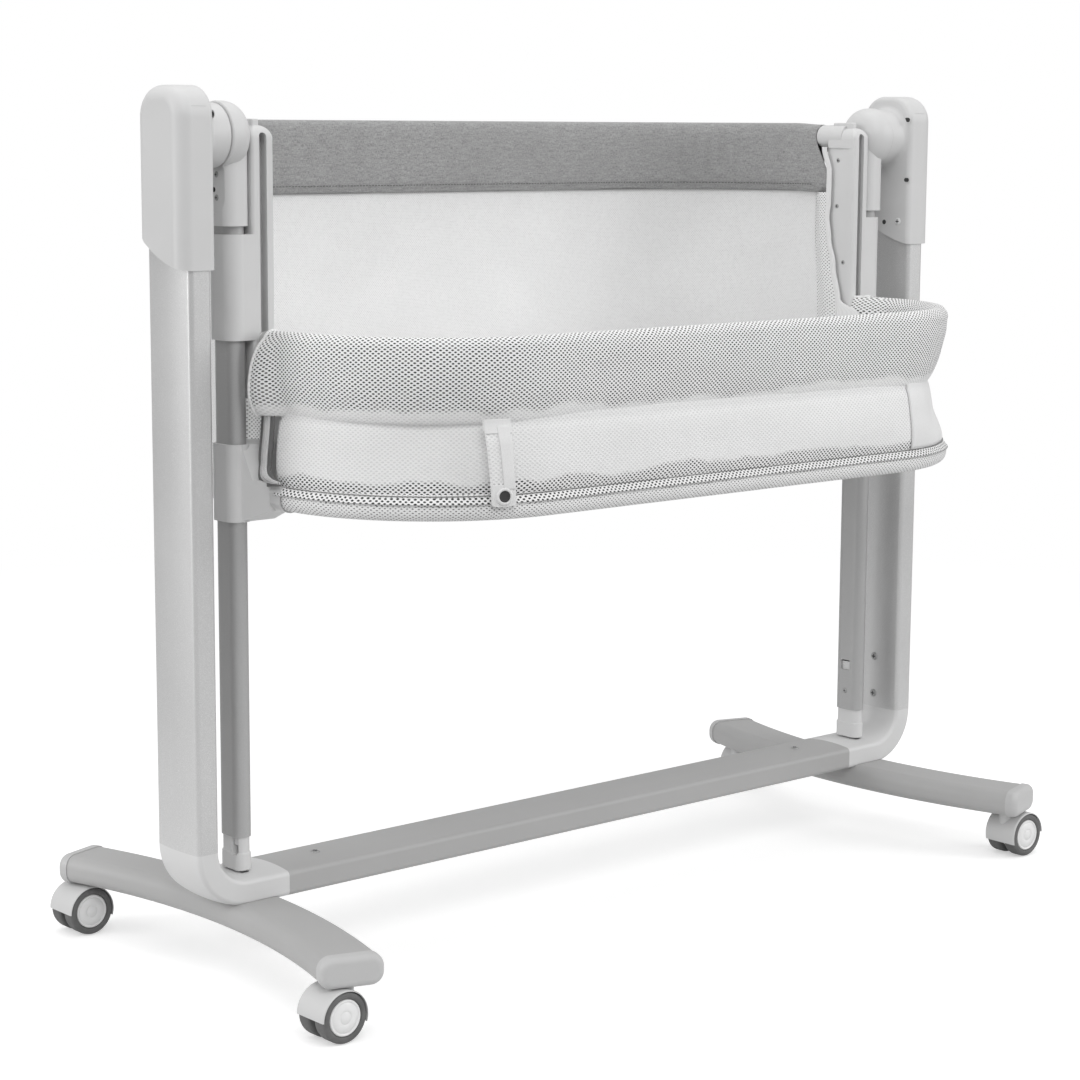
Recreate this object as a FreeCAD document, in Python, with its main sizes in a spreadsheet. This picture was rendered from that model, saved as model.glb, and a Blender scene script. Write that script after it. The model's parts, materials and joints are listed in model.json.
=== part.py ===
import FreeCAD, Part
import math
import os
import re

import Sketcher
from FreeCAD import Vector

# Bedside sleeper crib.  Origin on the floor at the middle of the footprint, X along the
# crossbar, Y towards the high mesh side (the bed side is at -Y), Z up.  Millimetres.
# The right-hand pieces are modelled and the left-hand ones are their mirror images.

SIZES = (
    # flat section shared by the crossbar, the elbows and the uprights
    ("frame_thick", 30),
    ("frame_depth", 72),
    ("frame_corner", 5),
    ("frame_crown", 3),
    ("frame_wall", 2),
    # lower frame
    ("bar_half", 414),
    ("bar_bottom", 77),
    ("elbow_reach", 49),
    ("bend_inner", 32),
    ("spigot_length", 60),
    ("spigot_fit", 0.2),
    ("upright_rise", 27),
    ("frame_screw_head", 9.5),
    ("frame_screw_rise", 1.6),
    ("bar_screw_at", 356),
    ("upright_screw_low", 156),
    ("upright_screw_high", 202),
    # curved feet
    ("foot_width", 62),
    ("foot_height", 29),
    ("foot_corner", 12),
    ("foot_wall", 2),
    ("foot_bottom", 53),
    ("foot_radius", 757),
    ("foot_middle", 451),
    ("foot_reach", 243),
    ("foot_saddle_gap", 0.3),
    ("cap_length", 13),
    ("cap_lip", 1),
    ("cap_crown", 7),
    ("plug_length", 34),
    ("plug_fit", 0.2),
    # twin-wheel casters
    ("stem_reach", 221),
    ("stem_radius", 5),
    ("stem_fit", 0.05),
    ("stem_top", 74),
    ("stem_grip", 5),
    ("stem_hole", 7),
    ("caster_trail", 15),
    ("wheel_radius", 25),
    ("wheel_width", 17),
    ("wheel_inset", 4),
    ("hub_disc", 17.5),
    ("wheel_pin", 3),
    ("hood_outer", 26.6),
    ("hood_wall", 1.2),
    ("hood_half", 21.6),
    ("hood_boss", 8),
    ("hood_top", 51.5),
    ("web_half", 3),
    # pivot heads
    ("pivot_height", 833),
    ("axle_radius", 8),
    ("axle_fit", 0.05),
    ("bush_radius", 11),
    ("head_depth", 76),
    ("head_rise", 47),
    ("head_shoulder", 30),
    ("head_front_drop", 173),
    ("head_back_drop", 138),
    ("head_sag", 6),
    ("head_inner_wall", 2),
    ("head_outer_wall", 8),
    ("head_split", 15),
    ("head_round", 14),
    ("head_inner_round", 6),
    ("hub_radius", 31),
    ("hub_length", 24.5),
    ("hub_blend", 6),
    ("dimple_radius", 3),
    ("dimple_depth", 3),
    ("axle_cover", 4),
    # cradle posts and their housings
    ("swing_gap", 0.3),
    ("hanger_thick", 28.2),
    ("hanger_head", 33),
    ("hanger_dome", 20),
    ("hanger_half", 21.2),
    ("hanger_root", 9),
    ("hanger_drop", 86),
    ("hanger_round", 11),
    ("panel_width", 30),
    ("panel_height", 52),
    ("panel_drop", 48),
    ("panel_depth", 2),
    ("panel_screw_step", 22),
    ("panel_screw_grip", 3),
    ("post_thick", 20),
    ("post_depth", 36),
    ("post_wall", 1.8),
    ("post_inset", 42),
    ("post_bottom", 143),
    ("post_fit", 0.2),
    ("window_width", 13.5),
    ("window_low", 192),
    ("window_high", 204),
    ("post_foot_gap", 1.5),
    ("post_foot_base", 18.5),
    ("post_foot_inset", 1),
    ("post_foot_corner", 7),
    ("post_foot_plug", 60),
    ("lock_width", 8),
    ("lock_thick", 4),
    ("lock_travel", 8),
    ("lock_fit", 0.3),
    ("seat_play", 2.5),
    ("lock_length", 33),
    ("lock_tab", 6),
    ("lock_reach", 6),
    ("lock_window_low", 16),
    ("small_screw", 6),
    ("small_screw_rise", 1),
    ("post_screw_height", 166),
    # sliding side plates
    ("plate_thick", 25.3),
    ("plate_front", 21),
    ("plate_back", 22),
    ("plate_round", 3),
    ("plate_rise", 10),
    ("plate_drop", 56),
    ("bezel", 8),
    ("bezel_rise", 1.5),
    ("slot_width", 8.5),
    ("slot_lip", 4),
    ("channel_width", 16),
    ("channel_depth", 11),
    ("slot_rise", 3),
    ("sleeve_wall", 3),
    ("sleeve_fit", 0.3),
    ("sleeve_gap", 8),
    ("sleeve_length", 102),
    ("socket_radius", 13.2),
    ("socket_length", 38),
    ("socket_seat", 24),
    ("button_width", 8),
    ("button_length", 30),
    ("button_rise", 6),
    ("button_travel", 4),
    ("button_fit", 0.3),
    ("button_deep", 6),
    ("button_well", 12),
    ("bracket_drop", 26),
    ("bracket_rise", 50),
    ("ferrule_radius", 14.5),
    ("ferrule_start", 45),
    ("ferrule_end", 62),
    ("ferrule_seat", 47),
    ("arm_thick", 24),
    ("arm_rise", 16),
    # basket tubes and rails
    ("rail_offset", 426.5),
    ("rail_reach", 237),
    ("rail_bend", 172),
    ("tube_radius", 11),
    ("tube_wall", 1.5),
    ("tube_fit", 0.1),
    ("bottom_height", 486),
    ("top_rail_height", 833),
    ("front_rail_radius", 9),
    ("front_rail_height", 636),
    ("front_rail_start", 23),
    ("shoe_fit", 0.3),
    ("shoe_drop", 35),
    # soft goods
    ("cloth", 2),
    ("cloth_gap", 0.3),
    ("side_cloth", 409),
    ("side_cloth_reach", 66),
    ("side_cloth_lap", 20),
    ("band_drop", 65),
    ("band_rise", 15),
    ("band_start", 40),
    ("front_band_drop", 71),
    ("front_band_rise", 12),
    ("front_band_start", 40),
    ("board_thick", 6),
    ("mattress_thick", 50),
    ("mattress_crown", 4),
    ("mattress_edge", 16),
    ("mattress_gap", 6),
    ("strap_width", 29),
    ("strap_thick", 2),
    ("strap_turn", 18),
    ("strap_end", 13),
    ("eyelet_radius", 7),
    ("eyelet_hole", 3.6),
    ("eyelet_rise", 15),
)

# Sizes that follow from the ones above.
DERIVED = {
    "bar_top": "bar_bottom + frame_thick",
    "bar_mid": "bar_bottom + frame_thick / 2",
    "bend_across": "bar_half + elbow_reach",
    "bend_height": "bar_top + bend_inner",
    "bend_middle": "bend_inner + frame_thick / 2",
    "upright_inner": "bend_across + bend_inner",
    "upright_middle": "upright_inner + frame_thick / 2",
    "upright_top": "pivot_height + upright_rise",
    "head_top": "pivot_height + head_rise",
    "inner_thick": "frame_thick - 2 * frame_wall - 2 * spigot_fit",
    "inner_depth": "frame_depth - 2 * frame_wall - 2 * spigot_fit",
    "inner_corner": "frame_corner - frame_wall - spigot_fit",
    "foot_centre": "foot_middle + foot_radius",
    "foot_mid_height": "foot_bottom + foot_height / 2",
    "foot_half_turn": "asin(foot_reach / foot_radius)",
    "cap_turn": "cap_length / foot_radius * 1 rad",
    "plug_turn": "plug_length / foot_radius * 1 rad",
    "stem_across": "foot_centre - sqrt(foot_radius ^ 2 - stem_reach ^ 2)",
    "wheel_across": "stem_across + caster_trail",
    "head_inner": "upright_inner - head_inner_wall",
    "head_outer": "upright_inner + frame_thick + head_outer_wall",
    "head_parting": "upright_inner + head_split",
    "hub_face": "head_inner - hub_length",
    "hanger_outer": "hub_face - swing_gap",
    "hanger_inner": "hanger_outer - hanger_thick",
    "hanger_bottom": "pivot_height - hanger_drop",
    "post_middle": "upright_inner - post_inset",
    "post_top": "pivot_height - hanger_head",
    "post_foot_bottom": "bar_top + post_foot_gap",
    "sleeve_thick": "post_thick + 2 * sleeve_fit + 2 * sleeve_wall",
    "sleeve_depth": "post_depth + 2 * sleeve_fit + 2 * sleeve_wall",
    "sleeve_high": "hanger_bottom - sleeve_gap",
    "sleeve_low": "sleeve_high - sleeve_length",
    "plate_top": "top_rail_height + plate_rise",
    "plate_bottom": "front_rail_height - plate_drop",
    "slot_top": "top_rail_height + slot_rise",
    "slot_bottom": "front_rail_height - shoe_drop - shoe_fit",
    "bracket_low": "bottom_height - bracket_drop",
    "bracket_high": "bottom_height + bracket_rise",
    "arm_high": "bottom_height + arm_rise",
    "side_cloth_top": "plate_bottom + side_cloth_lap",
    "band_low": "top_rail_height - band_drop",
    "band_high": "top_rail_height + band_rise",
    "front_band_low": "front_rail_height - front_band_drop",
    "front_band_high": "front_rail_height + front_band_rise",
    "eyelet_height": "bottom_height + eyelet_rise",
    "strap_low": "eyelet_height - strap_end",
    "cloth_across": "rail_offset + tube_radius + cloth_gap + cloth",
    "bottom_low": "bottom_height - tube_radius - cloth_gap - cloth",
    "bottom_high": "bottom_height + tube_radius + cloth_gap + cloth",
}

doc = FreeCAD.newDocument("BedsideCrib")
sheet = doc.addObject("Spreadsheet::Sheet", "Sizes")
for row, (alias, size) in enumerate(SIZES, start=1):
    sheet.set("A%d" % row, alias)
    sheet.set("B%d" % row, str(size))
    sheet.setAlias("B%d" % row, alias)
doc.recompute()
NAMES = {alias for alias, size in SIZES}


def formula(text):
    """Turns a formula in plain size names into one that reads the sheet."""
    def spell(match):
        word = match.group(0)
        if word in DERIVED:
            return "(" + formula(DERIVED[word]) + ")"
        return "Sizes." + word if word in NAMES else word
    return re.sub(r"[a-z_]+", spell, str(text))


def val(text):
    """The present number of such a formula."""
    result = sheet.evalExpression(formula(text))
    return float(getattr(result, "Value", result))


def bind(item, path, text):
    item.setExpression(path, formula(text))


def place(item, across=0, deep=0, up=0):
    """Puts an object's own origin at a point given by three formulas."""
    for axis, text in zip("xyz", (across, deep, up)):
        if text != 0:
            bind(item, "Placement.Base." + axis, text)


def new_body(label, across=0, deep=0, up=0):
    body = doc.addObject("PartDesign::Body", label)
    body.Label = label
    place(body, across, deep, up)
    return body


def origin_item(body, role):
    return [item for item in body.Origin.OriginFeatures if item.Role == role][0]


def new_sketch(body, plane, offset=0):
    """A sketch on one of the body's own planes, moved along the plane's normal."""
    sketch = body.newObject("Sketcher::SketchObject", body.Name + "_sketch")
    sketch.AttachmentSupport = [(origin_item(body, plane + "_Plane"), "")]
    sketch.MapMode = "FlatFace"
    if offset != 0:
        bind(sketch, "AttachmentOffset.Base.z", offset)
    return sketch


def hold(sketch, kind, text, *where):
    """A size constraint that reads the sheet."""
    index = sketch.addConstraint(Sketcher.Constraint(kind, *where, val(text)))
    bind(sketch, "Constraints[%d]" % index, text)


def hold_point(sketch, line, end, x, y):
    """Holds a point from the sketch's origin in both directions."""
    hold(sketch, "DistanceX", x, -1, 1, line, end)
    hold(sketch, "DistanceY", y, -1, 1, line, end)


def circle(sketch, x, y, radius):
    centre = Vector(val(x), val(y), 0)
    ring = sketch.addGeometry(Part.Circle(centre, Vector(0, 0, 1), val(radius)), False)
    hold(sketch, "Radius", radius, ring)
    hold_point(sketch, ring, 3, x, y)
    return ring


def polygon(sketch, points, closed=True):
    """Straight lines through points given as formulas; each point is held."""
    spots = [Vector(val(x), val(y), 0) for x, y in points]
    count = len(spots) if closed else len(spots) - 1
    lines = []
    for k in range(count):
        lines.append(sketch.addGeometry(
            Part.LineSegment(spots[k], spots[(k + 1) % len(spots)]), False))
    for k in range(count if closed else count - 1):
        follower = lines[(k + 1) % len(lines)]
        sketch.addConstraint(Sketcher.Constraint("Coincident", lines[k], 2, follower, 1))
    for k, (x, y) in enumerate(points):
        if k < count:
            hold_point(sketch, lines[k], 1, x, y)
        else:
            hold_point(sketch, lines[-1], 2, x, y)
    return lines


def rounded(sketch, width, height, corner, x=0, y=0):
    """A rectangle with round corners about a centre."""
    wide, high, turn = val(width) / 2, val(height) / 2, val(corner)
    cx, cy = val(x), val(y)
    left, right, low, top = cx - wide, cx + wide, cy - high, cy + high
    ends = (
        ((left + turn, low), (right - turn, low)),
        ((right, low + turn), (right, top - turn)),
        ((right - turn, top), (left + turn, top)),
        ((left, top - turn), (left, low + turn)),
    )
    lines = [sketch.addGeometry(Part.LineSegment(Vector(*a, 0), Vector(*b, 0)), False)
             for a, b in ends]
    hubs = ((right - turn, low + turn), (right - turn, top - turn),
            (left + turn, top - turn), (left + turn, low + turn))
    arcs = []
    for k, hub in enumerate(hubs):
        ring = Part.Circle(Vector(*hub, 0), Vector(0, 0, 1), turn)
        start = (k - 1) * math.pi / 2
        arcs.append(sketch.addGeometry(Part.ArcOfCircle(ring, start, start + math.pi / 2), False))
    for k in range(4):
        sketch.addConstraint(Sketcher.Constraint("Tangent", lines[k], 2, arcs[k], 1))
        sketch.addConstraint(Sketcher.Constraint("Tangent", arcs[k], 2, lines[(k + 1) % 4], 1))
        if k:
            sketch.addConstraint(Sketcher.Constraint("Equal", arcs[0], arcs[k]))
    sketch.addConstraint(Sketcher.Constraint("Horizontal", lines[0]))
    sketch.addConstraint(Sketcher.Constraint("Horizontal", lines[2]))
    sketch.addConstraint(Sketcher.Constraint("Vertical", lines[1]))
    sketch.addConstraint(Sketcher.Constraint("Vertical", lines[3]))
    hold(sketch, "Radius", corner, arcs[0])
    hold(sketch, "DistanceY", "(%s) - (%s) / 2" % (y, height), -1, 1, lines[0], 1)
    hold(sketch, "DistanceY", "(%s) + (%s) / 2" % (y, height), -1, 1, lines[2], 1)
    hold(sketch, "DistanceX", "(%s) - (%s) / 2" % (x, width), -1, 1, lines[3], 1)
    hold(sketch, "DistanceX", "(%s) + (%s) / 2" % (x, width), -1, 1, lines[1], 1)


def crowned(sketch, broad, thick, corner, crown, x=0, y=0, tall=False):
    """A flat tube's section whose broad sides bulge; tall stands the broad sides upright."""
    half, turn, rise = val(broad) / 2, val(corner), val(crown)
    swell = (half ** 2 + rise ** 2) / (2 * rise)
    hub = val(thick) / 2 - swell
    fx = half - turn
    fy = hub + math.sqrt((swell - turn) ** 2 - fx ** 2)
    lean = math.atan2(fy - hub, fx)

    def spot(u, v):
        return Vector(val(x) - v, val(y) + u, 0) if tall else Vector(val(x) + u, val(y) + v, 0)

    def arc(u, v, size, low, high):
        shift = math.pi / 2 if tall else 0
        ring = Part.Circle(spot(u, v), Vector(0, 0, 1), size)
        return sketch.addGeometry(Part.ArcOfCircle(ring, low + shift, high + shift), False)

    near = sketch.addGeometry(Part.LineSegment(spot(half, -fy), spot(half, fy)), False)
    corners = [arc(fx, fy, turn, 0, lean)]
    upper = arc(0, hub, swell, lean, math.pi - lean)
    corners.append(arc(-fx, fy, turn, math.pi - lean, math.pi))
    far = sketch.addGeometry(Part.LineSegment(spot(-half, fy), spot(-half, -fy)), False)
    corners.append(arc(-fx, -fy, turn, math.pi, math.pi + lean))
    lower = arc(0, -hub, swell, math.pi + lean, 2 * math.pi - lean)
    corners.append(arc(fx, -fy, turn, 2 * math.pi - lean, 2 * math.pi))
    chain = (near, corners[0], upper, corners[1], far, corners[2], lower, corners[3])
    for one, other in zip(chain, chain[1:] + chain[:1]):
        sketch.addConstraint(Sketcher.Constraint("Tangent", one, 2, other, 1))
    for other in corners[1:]:
        sketch.addConstraint(Sketcher.Constraint("Equal", corners[0], other))
    sketch.addConstraint(Sketcher.Constraint("Equal", upper, lower))
    for side in (near, far):
        sketch.addConstraint(Sketcher.Constraint("Horizontal" if tall else "Vertical", side))
    radius = "((((%s) / 2) ^ 2 + (%s) ^ 2) / (2 * (%s)))" % (broad, crown, crown)
    hold(sketch, "Radius", corner, corners[0])
    hold(sketch, "Radius", radius, upper)
    reach = "(%s) / 2 - %s" % (thick, radius)
    if tall:
        hold_point(sketch, upper, 3, "(%s) - (%s)" % (x, reach), y)
        hold_point(sketch, lower, 3, "(%s) + (%s)" % (x, reach), y)
        hold(sketch, "DistanceY", "(%s) + (%s) / 2" % (y, broad), -1, 1, near, 1)
        hold(sketch, "DistanceY", "(%s) - (%s) / 2" % (y, broad), -1, 1, far, 1)
    else:
        hold_point(sketch, upper, 3, x, "(%s) + (%s)" % (y, reach))
        hold_point(sketch, lower, 3, x, "(%s) - (%s)" % (y, reach))
        hold(sketch, "DistanceX", "(%s) + (%s) / 2" % (x, broad), -1, 1, near, 1)
        hold(sketch, "DistanceX", "(%s) - (%s) / 2" % (x, broad), -1, 1, far, 1)


def stadium(sketch, thick, depth, x=0, y=0):
    """A flat tube's section: half rounds at both ends of its depth (along y)."""
    turn, half = val(thick) / 2, (val(depth) - val(thick)) / 2
    cx, cy = val(x), val(y)
    right = sketch.addGeometry(Part.LineSegment(
        Vector(cx + turn, cy - half, 0), Vector(cx + turn, cy + half, 0)), False)
    left = sketch.addGeometry(Part.LineSegment(
        Vector(cx - turn, cy + half, 0), Vector(cx - turn, cy - half, 0)), False)
    top_ring = Part.Circle(Vector(cx, cy + half, 0), Vector(0, 0, 1), turn)
    low_ring = Part.Circle(Vector(cx, cy - half, 0), Vector(0, 0, 1), turn)
    top = sketch.addGeometry(Part.ArcOfCircle(top_ring, 0, math.pi), False)
    low = sketch.addGeometry(Part.ArcOfCircle(low_ring, math.pi, 2 * math.pi), False)
    for one, other in ((right, top), (top, left), (left, low), (low, right)):
        sketch.addConstraint(Sketcher.Constraint("Tangent", one, 2, other, 1))
    sketch.addConstraint(Sketcher.Constraint("Vertical", right))
    sketch.addConstraint(Sketcher.Constraint("Equal", top, low))
    hold(sketch, "Radius", "(%s) / 2" % thick, top)
    hold(sketch, "DistanceX", x, -1, 1, top, 3)
    reach = "((%s) - (%s)) / 2" % (depth, thick)
    hold(sketch, "DistanceY", "(%s) + %s" % (y, reach), -1, 1, top, 3)
    hold(sketch, "DistanceY", "(%s) - %s" % (y, reach), -1, 1, low, 3)


def add(kind, body, profile, **settings):
    """One sketch-based feature; text settings are formulas, the rest plain properties."""
    feature = body.newObject("PartDesign::" + kind, body.Name + "_" + kind.lower())
    feature.Profile = profile
    for key, setting in settings.items():
        if isinstance(setting, str) and key in ("Length", "Length2", "Angle"):
            bind(feature, key, setting)
        else:
            setattr(feature, key, setting)
    body.Tip = feature
    return feature


def pad(body, profile, length, back=False, middle=False):
    side = "Symmetric" if middle else "One side"
    return add("Pad", body, profile, SideType=side, Reversed=back, Length=length)


def pocket(body, profile, length, back=False, middle=False):
    """A cut that has to take something away."""
    doc.recompute()
    before = body.Shape.Volume
    side = "Symmetric" if middle else "One side"
    cut = add("Pocket", body, profile, SideType=side, Reversed=back, Length=length)
    doc.recompute()
    if body.Shape.Volume > before - 1e-3:
        raise RuntimeError("a pocket of %s cuts nothing" % body.Label)
    return cut


def revolve(body, profile, axis, angle, back=False, middle=False, kind="Revolution"):
    return add(kind, body, profile, ReferenceAxis=(origin_item(body, axis + "_Axis"), [""]),
               Angle=angle, Reversed=back, Midplane=middle)


def soften(body, radius, keep, kind="Fillet", size="Radius"):
    """Rounds the edges of the body for which keep(edge, box) is true."""
    doc.recompute()
    base = body.Tip
    names = ["Edge%d" % (k + 1) for k, edge in enumerate(base.Shape.Edges)
             if keep(edge, edge.BoundBox)]
    if not names:
        raise RuntimeError("no edge of %s to round" % body.Label)
    feature = body.newObject("PartDesign::" + kind, body.Name + "_" + kind.lower())
    feature.Base = (base, names)
    bind(feature, size, radius)
    body.Tip = feature
    return feature


def flat(low, high, at, slack=0.05):
    """True where an extent lies at one value."""
    return abs(low - at) < slack and abs(high - at) < slack


def primitive(kind, name, **sizes):
    item = doc.addObject("Part::" + kind, name)
    for key, text in sizes.items():
        bind(item, key, text)
    return item


def combine(kind, name, base, tool):
    item = doc.addObject("Part::" + kind, name)
    item.Base = base
    item.Tool = tool
    item.Label = name
    return item


def fuse(name, pieces):
    item = doc.addObject("Part::MultiFuse", name)
    item.Shapes = pieces
    item.Label = name
    return item


def group(name, pieces):
    """Separate solids of one kind, kept together in one file."""
    item = doc.addObject("Part::Compound", name)
    item.Links = pieces
    item.Label = name
    return item


def mirrored(name, source, normal=(1, 0, 0)):
    item = doc.addObject("Part::Mirroring", name)
    item.Source = source
    item.Normal = Vector(*normal)
    item.Label = name
    return item


NODES = []


def node(item):
    """Marks an object as a finished piece."""
    NODES.append(item)
    return item


def both_sides(piece, stem):
    """A right-hand piece and its mirror image, as two nodes."""
    piece.Label = "right_" + stem
    node(piece)
    return node(mirrored("left_" + stem, piece))


# ---------------------------------------------------------------- lower frame

crossbar = node(new_body("crossbar", up="bar_mid"))
sketch = new_sketch(crossbar, "YZ")
crowned(sketch, "frame_depth", "frame_thick", "frame_corner", "frame_crown")
crowned(sketch, "frame_depth - 2 * frame_wall", "frame_thick - 2 * frame_wall",
        "frame_corner - frame_wall", "frame_crown")
pad(crossbar, sketch, "2 * bar_half", middle=True)
sketch = new_sketch(crossbar, "XY", "frame_thick")
circle(sketch, "bar_screw_at", 0, "frame_screw_head / 4 + 0.05")
circle(sketch, "-bar_screw_at", 0, "frame_screw_head / 4 + 0.05")
pocket(crossbar, sketch, "frame_thick - 2 * frame_wall")


def foot_section(body, grow, hollow=False):
    """The feet's flat-oval section, in the plane that holds the axis of their arc."""
    outline = new_sketch(body, "XZ")
    steps = (0, 1) if hollow else (0,)
    for step in steps:
        size = "%s - %d * 2 * foot_wall" % (grow, step)
        rounded(outline, "foot_width + " + size, "foot_height + " + size,
                "foot_corner + (%s) / 2" % size, "-foot_radius", "foot_mid_height")
    return outline


saddle = new_body("saddle", "foot_centre")
revolve(saddle, foot_section(saddle, "2 * foot_saddle_gap"), "Z",
        "2 * asin((frame_depth / 2 + 20) / foot_radius)", middle=True)

# The elbow's body has its origin on the axis of the bend.
elbow_body = new_body("elbow_body", "bend_across", 0, "bend_height")
sketch = new_sketch(elbow_body, "YZ")
crowned(sketch, "frame_depth", "frame_thick", "frame_corner", "frame_crown", 0, "-bend_middle")
pad(elbow_body, sketch, "elbow_reach", back=True)
revolve(elbow_body, sketch, "Y", "90", back=True)
sketch = new_sketch(elbow_body, "YZ", "-elbow_reach")
crowned(sketch, "inner_depth", "inner_thick", "inner_corner", "frame_crown", 0, "-bend_middle")
pad(elbow_body, sketch, "spigot_length", back=True)
sketch = new_sketch(elbow_body, "XY")
crowned(sketch, "inner_depth", "inner_thick", "inner_corner", "frame_crown", "bend_middle", 0,
        tall=True)
pad(elbow_body, sketch, "spigot_length")
# seat of the swing lock, in the top of the elbow under the post
sketch = new_sketch(elbow_body, "XY", "-bend_inner")
rounded(sketch, "lock_thick + 2 * seat_play", "lock_width + 2 * seat_play", "1.5",
        "post_middle - bend_across", "-post_depth / 2 + lock_width + 1")
pocket(elbow_body, sketch, "lock_travel + 4")
elbow = combine("Cut", "right_elbow", elbow_body, saddle)
both_sides(elbow, "elbow")

upright = new_body("right_upright", "upright_middle", 0, "bend_height")
sketch = new_sketch(upright, "XY")
crowned(sketch, "frame_depth", "frame_thick", "frame_corner", "frame_crown", tall=True)
crowned(sketch, "frame_depth - 2 * frame_wall", "frame_thick - 2 * frame_wall",
        "frame_corner - frame_wall", "frame_crown", tall=True)
pad(upright, sketch, "upright_top - bend_height")
sketch = new_sketch(upright, "YZ")
circle(sketch, 0, "pivot_height - bend_height", "axle_radius + axle_fit")
pocket(upright, sketch, "frame_thick + 2", middle=True)
sketch = new_sketch(upright, "YZ", "-frame_thick / 2 - 1")
circle(sketch, 0, "upright_screw_low - bend_height", "frame_screw_head / 4 + 0.05")
circle(sketch, 0, "upright_screw_high - bend_height", "frame_screw_head / 4 + 0.05")
pocket(upright, sketch, "frame_wall + 2", back=True)
both_sides(upright, "upright")

foot = new_body("right_foot", "foot_centre")
revolve(foot, foot_section(foot, "0", hollow=True), "Z",
        "2 * (foot_half_turn - cap_turn)", middle=True)
sketch = new_sketch(foot, "XY", "foot_bottom - 1")
circle(sketch, "stem_across - foot_centre", "-stem_reach", "stem_hole")
circle(sketch, "stem_across - foot_centre", "stem_reach", "stem_hole")
pocket(foot, sketch, "foot_wall + 2", back=True)
both_sides(foot, "foot")

# End cap: its body is turned so that the sketch plane is the cap's outer face.
cap = new_body("front_right_cap", "foot_centre")
bind(cap, "Placement.Rotation.Angle", "foot_half_turn")
revolve(cap, foot_section(cap, "2 * cap_lip"), "Z", "cap_turn", back=True)
soften(cap, "cap_crown", lambda edge, box: abs(box.YMax) < 0.05 and abs(box.YMin) < 0.05)
plug = new_body("front_right_plug", "foot_centre")
bind(plug, "Placement.Rotation.Angle", "foot_half_turn - cap_turn")
revolve(plug, foot_section(plug, "-2 * foot_wall - 2 * plug_fit"), "Z", "plug_turn", back=True)
stem_bore = primitive("Cylinder", "stem_bore", Radius="stem_radius + stem_fit",
                      Height="stem_top + 1")
place(stem_bore, "stem_across", "-stem_reach")
cap_whole = combine("Cut", "cap_front_right", fuse("cap_and_plug", [cap, plug]), stem_bore)
cap_back = mirrored("cap_back_right", cap_whole, (0, 1, 0))
node(group("foot_caps", [cap_whole, cap_back, mirrored("cap_front_left", cap_whole),
                         mirrored("cap_back_left", cap_back)]))


def screw_head(name, across, deep, up, turn_axis, turn):
    """A pan-head screw, its head on the surface and its shank through the wall."""
    body = new_body(name, across, deep, up)
    if turn:
        body.Placement = FreeCAD.Placement(body.Placement.Base,
                                           FreeCAD.Rotation(Vector(*turn_axis), turn))
    outline = new_sketch(body, "XZ")
    polygon(outline, (("0", "-frame_wall"), ("frame_screw_head / 4", "-frame_wall"),
                      ("frame_screw_head / 4", "0"), ("frame_screw_head / 2", "0"),
                      ("frame_screw_head / 2 - 1", "frame_screw_rise"),
                      ("0", "frame_screw_rise")))
    revolve(body, outline, "Z", "360")
    return body


frame_screws = []
for side in (1, -1):
    top_screw = screw_head("bar_screw_%s" % ("right" if side > 0 else "left"),
                           "%d * bar_screw_at" % side, 0, "bar_top", (0, 0, 1), 0)
    frame_screws.append(top_screw)
for name, height in (("low", "upright_screw_low"), ("high", "upright_screw_high")):
    inner_screw = screw_head("upright_screw_" + name, "upright_inner", 0, height, (0, 1, 0), -90)
    frame_screws += [inner_screw, mirrored("upright_screw_%s_left" % name, inner_screw)]
node(group("frame_screws", frame_screws))

# ---------------------------------------------------------------- pivot heads

# Seen along X the head is a tall cover with round shoulders and a slanting lower edge.


def head_outline(body, offset):
    """The cover's outline, as seen along X."""
    sketch = new_sketch(body, "YZ", offset)
    half = "head_depth / 2"
    top = "head_top - pivot_height"
    lines = polygon(sketch, ((half, "-(head_back_drop - (%s))" % top), (half, top),
                             ("-" + half, top), ("-" + half, "-(head_front_drop - (%s))" % top)),
                    closed=False)
    chord = "(head_depth ^ 2 + (head_front_drop - head_back_drop) ^ 2)"
    radius = "(%s / 4 + head_sag ^ 2) / (2 * head_sag)" % chord
    start, end = Vector(val("-" + half), val("head_rise - head_front_drop"), 0), Vector(
        val(half), val("head_rise - head_back_drop"), 0)
    along = (end - start).normalize()
    lowest = (start + end) * 0.5 + Vector(along.y, -along.x, 0) * val("head_sag")
    edge = sketch.addGeometry(Part.Arc(start, lowest, end), False)
    sketch.addConstraint(Sketcher.Constraint("Coincident", lines[-1], 2, edge, 1))
    sketch.addConstraint(Sketcher.Constraint("Coincident", edge, 2, lines[0], 1))
    hold(sketch, "Radius", radius, edge)
    return sketch


def upright_room(body):
    """The space in the cover that holds the top of the upright."""
    room = new_sketch(body, "XY", "-head_front_drop")
    crowned(room, "frame_depth + 2 * spigot_fit", "frame_thick + 2 * spigot_fit",
            "frame_corner + spigot_fit", "frame_crown", "upright_middle", 0, tall=True)
    pocket(body, room, "head_front_drop + upright_top - pivot_height + 2 * spigot_fit", back=True)


def shoulders(body):
    """Rounds the two upper corners of the outline."""
    top = val("head_top - pivot_height")
    half = val("head_depth / 2")
    soften(body, "head_shoulder",
           lambda edge, box: flat(box.ZMin, box.ZMax, top)
           and flat(box.YMin, box.YMax, math.copysign(half, box.YMin)))


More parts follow.
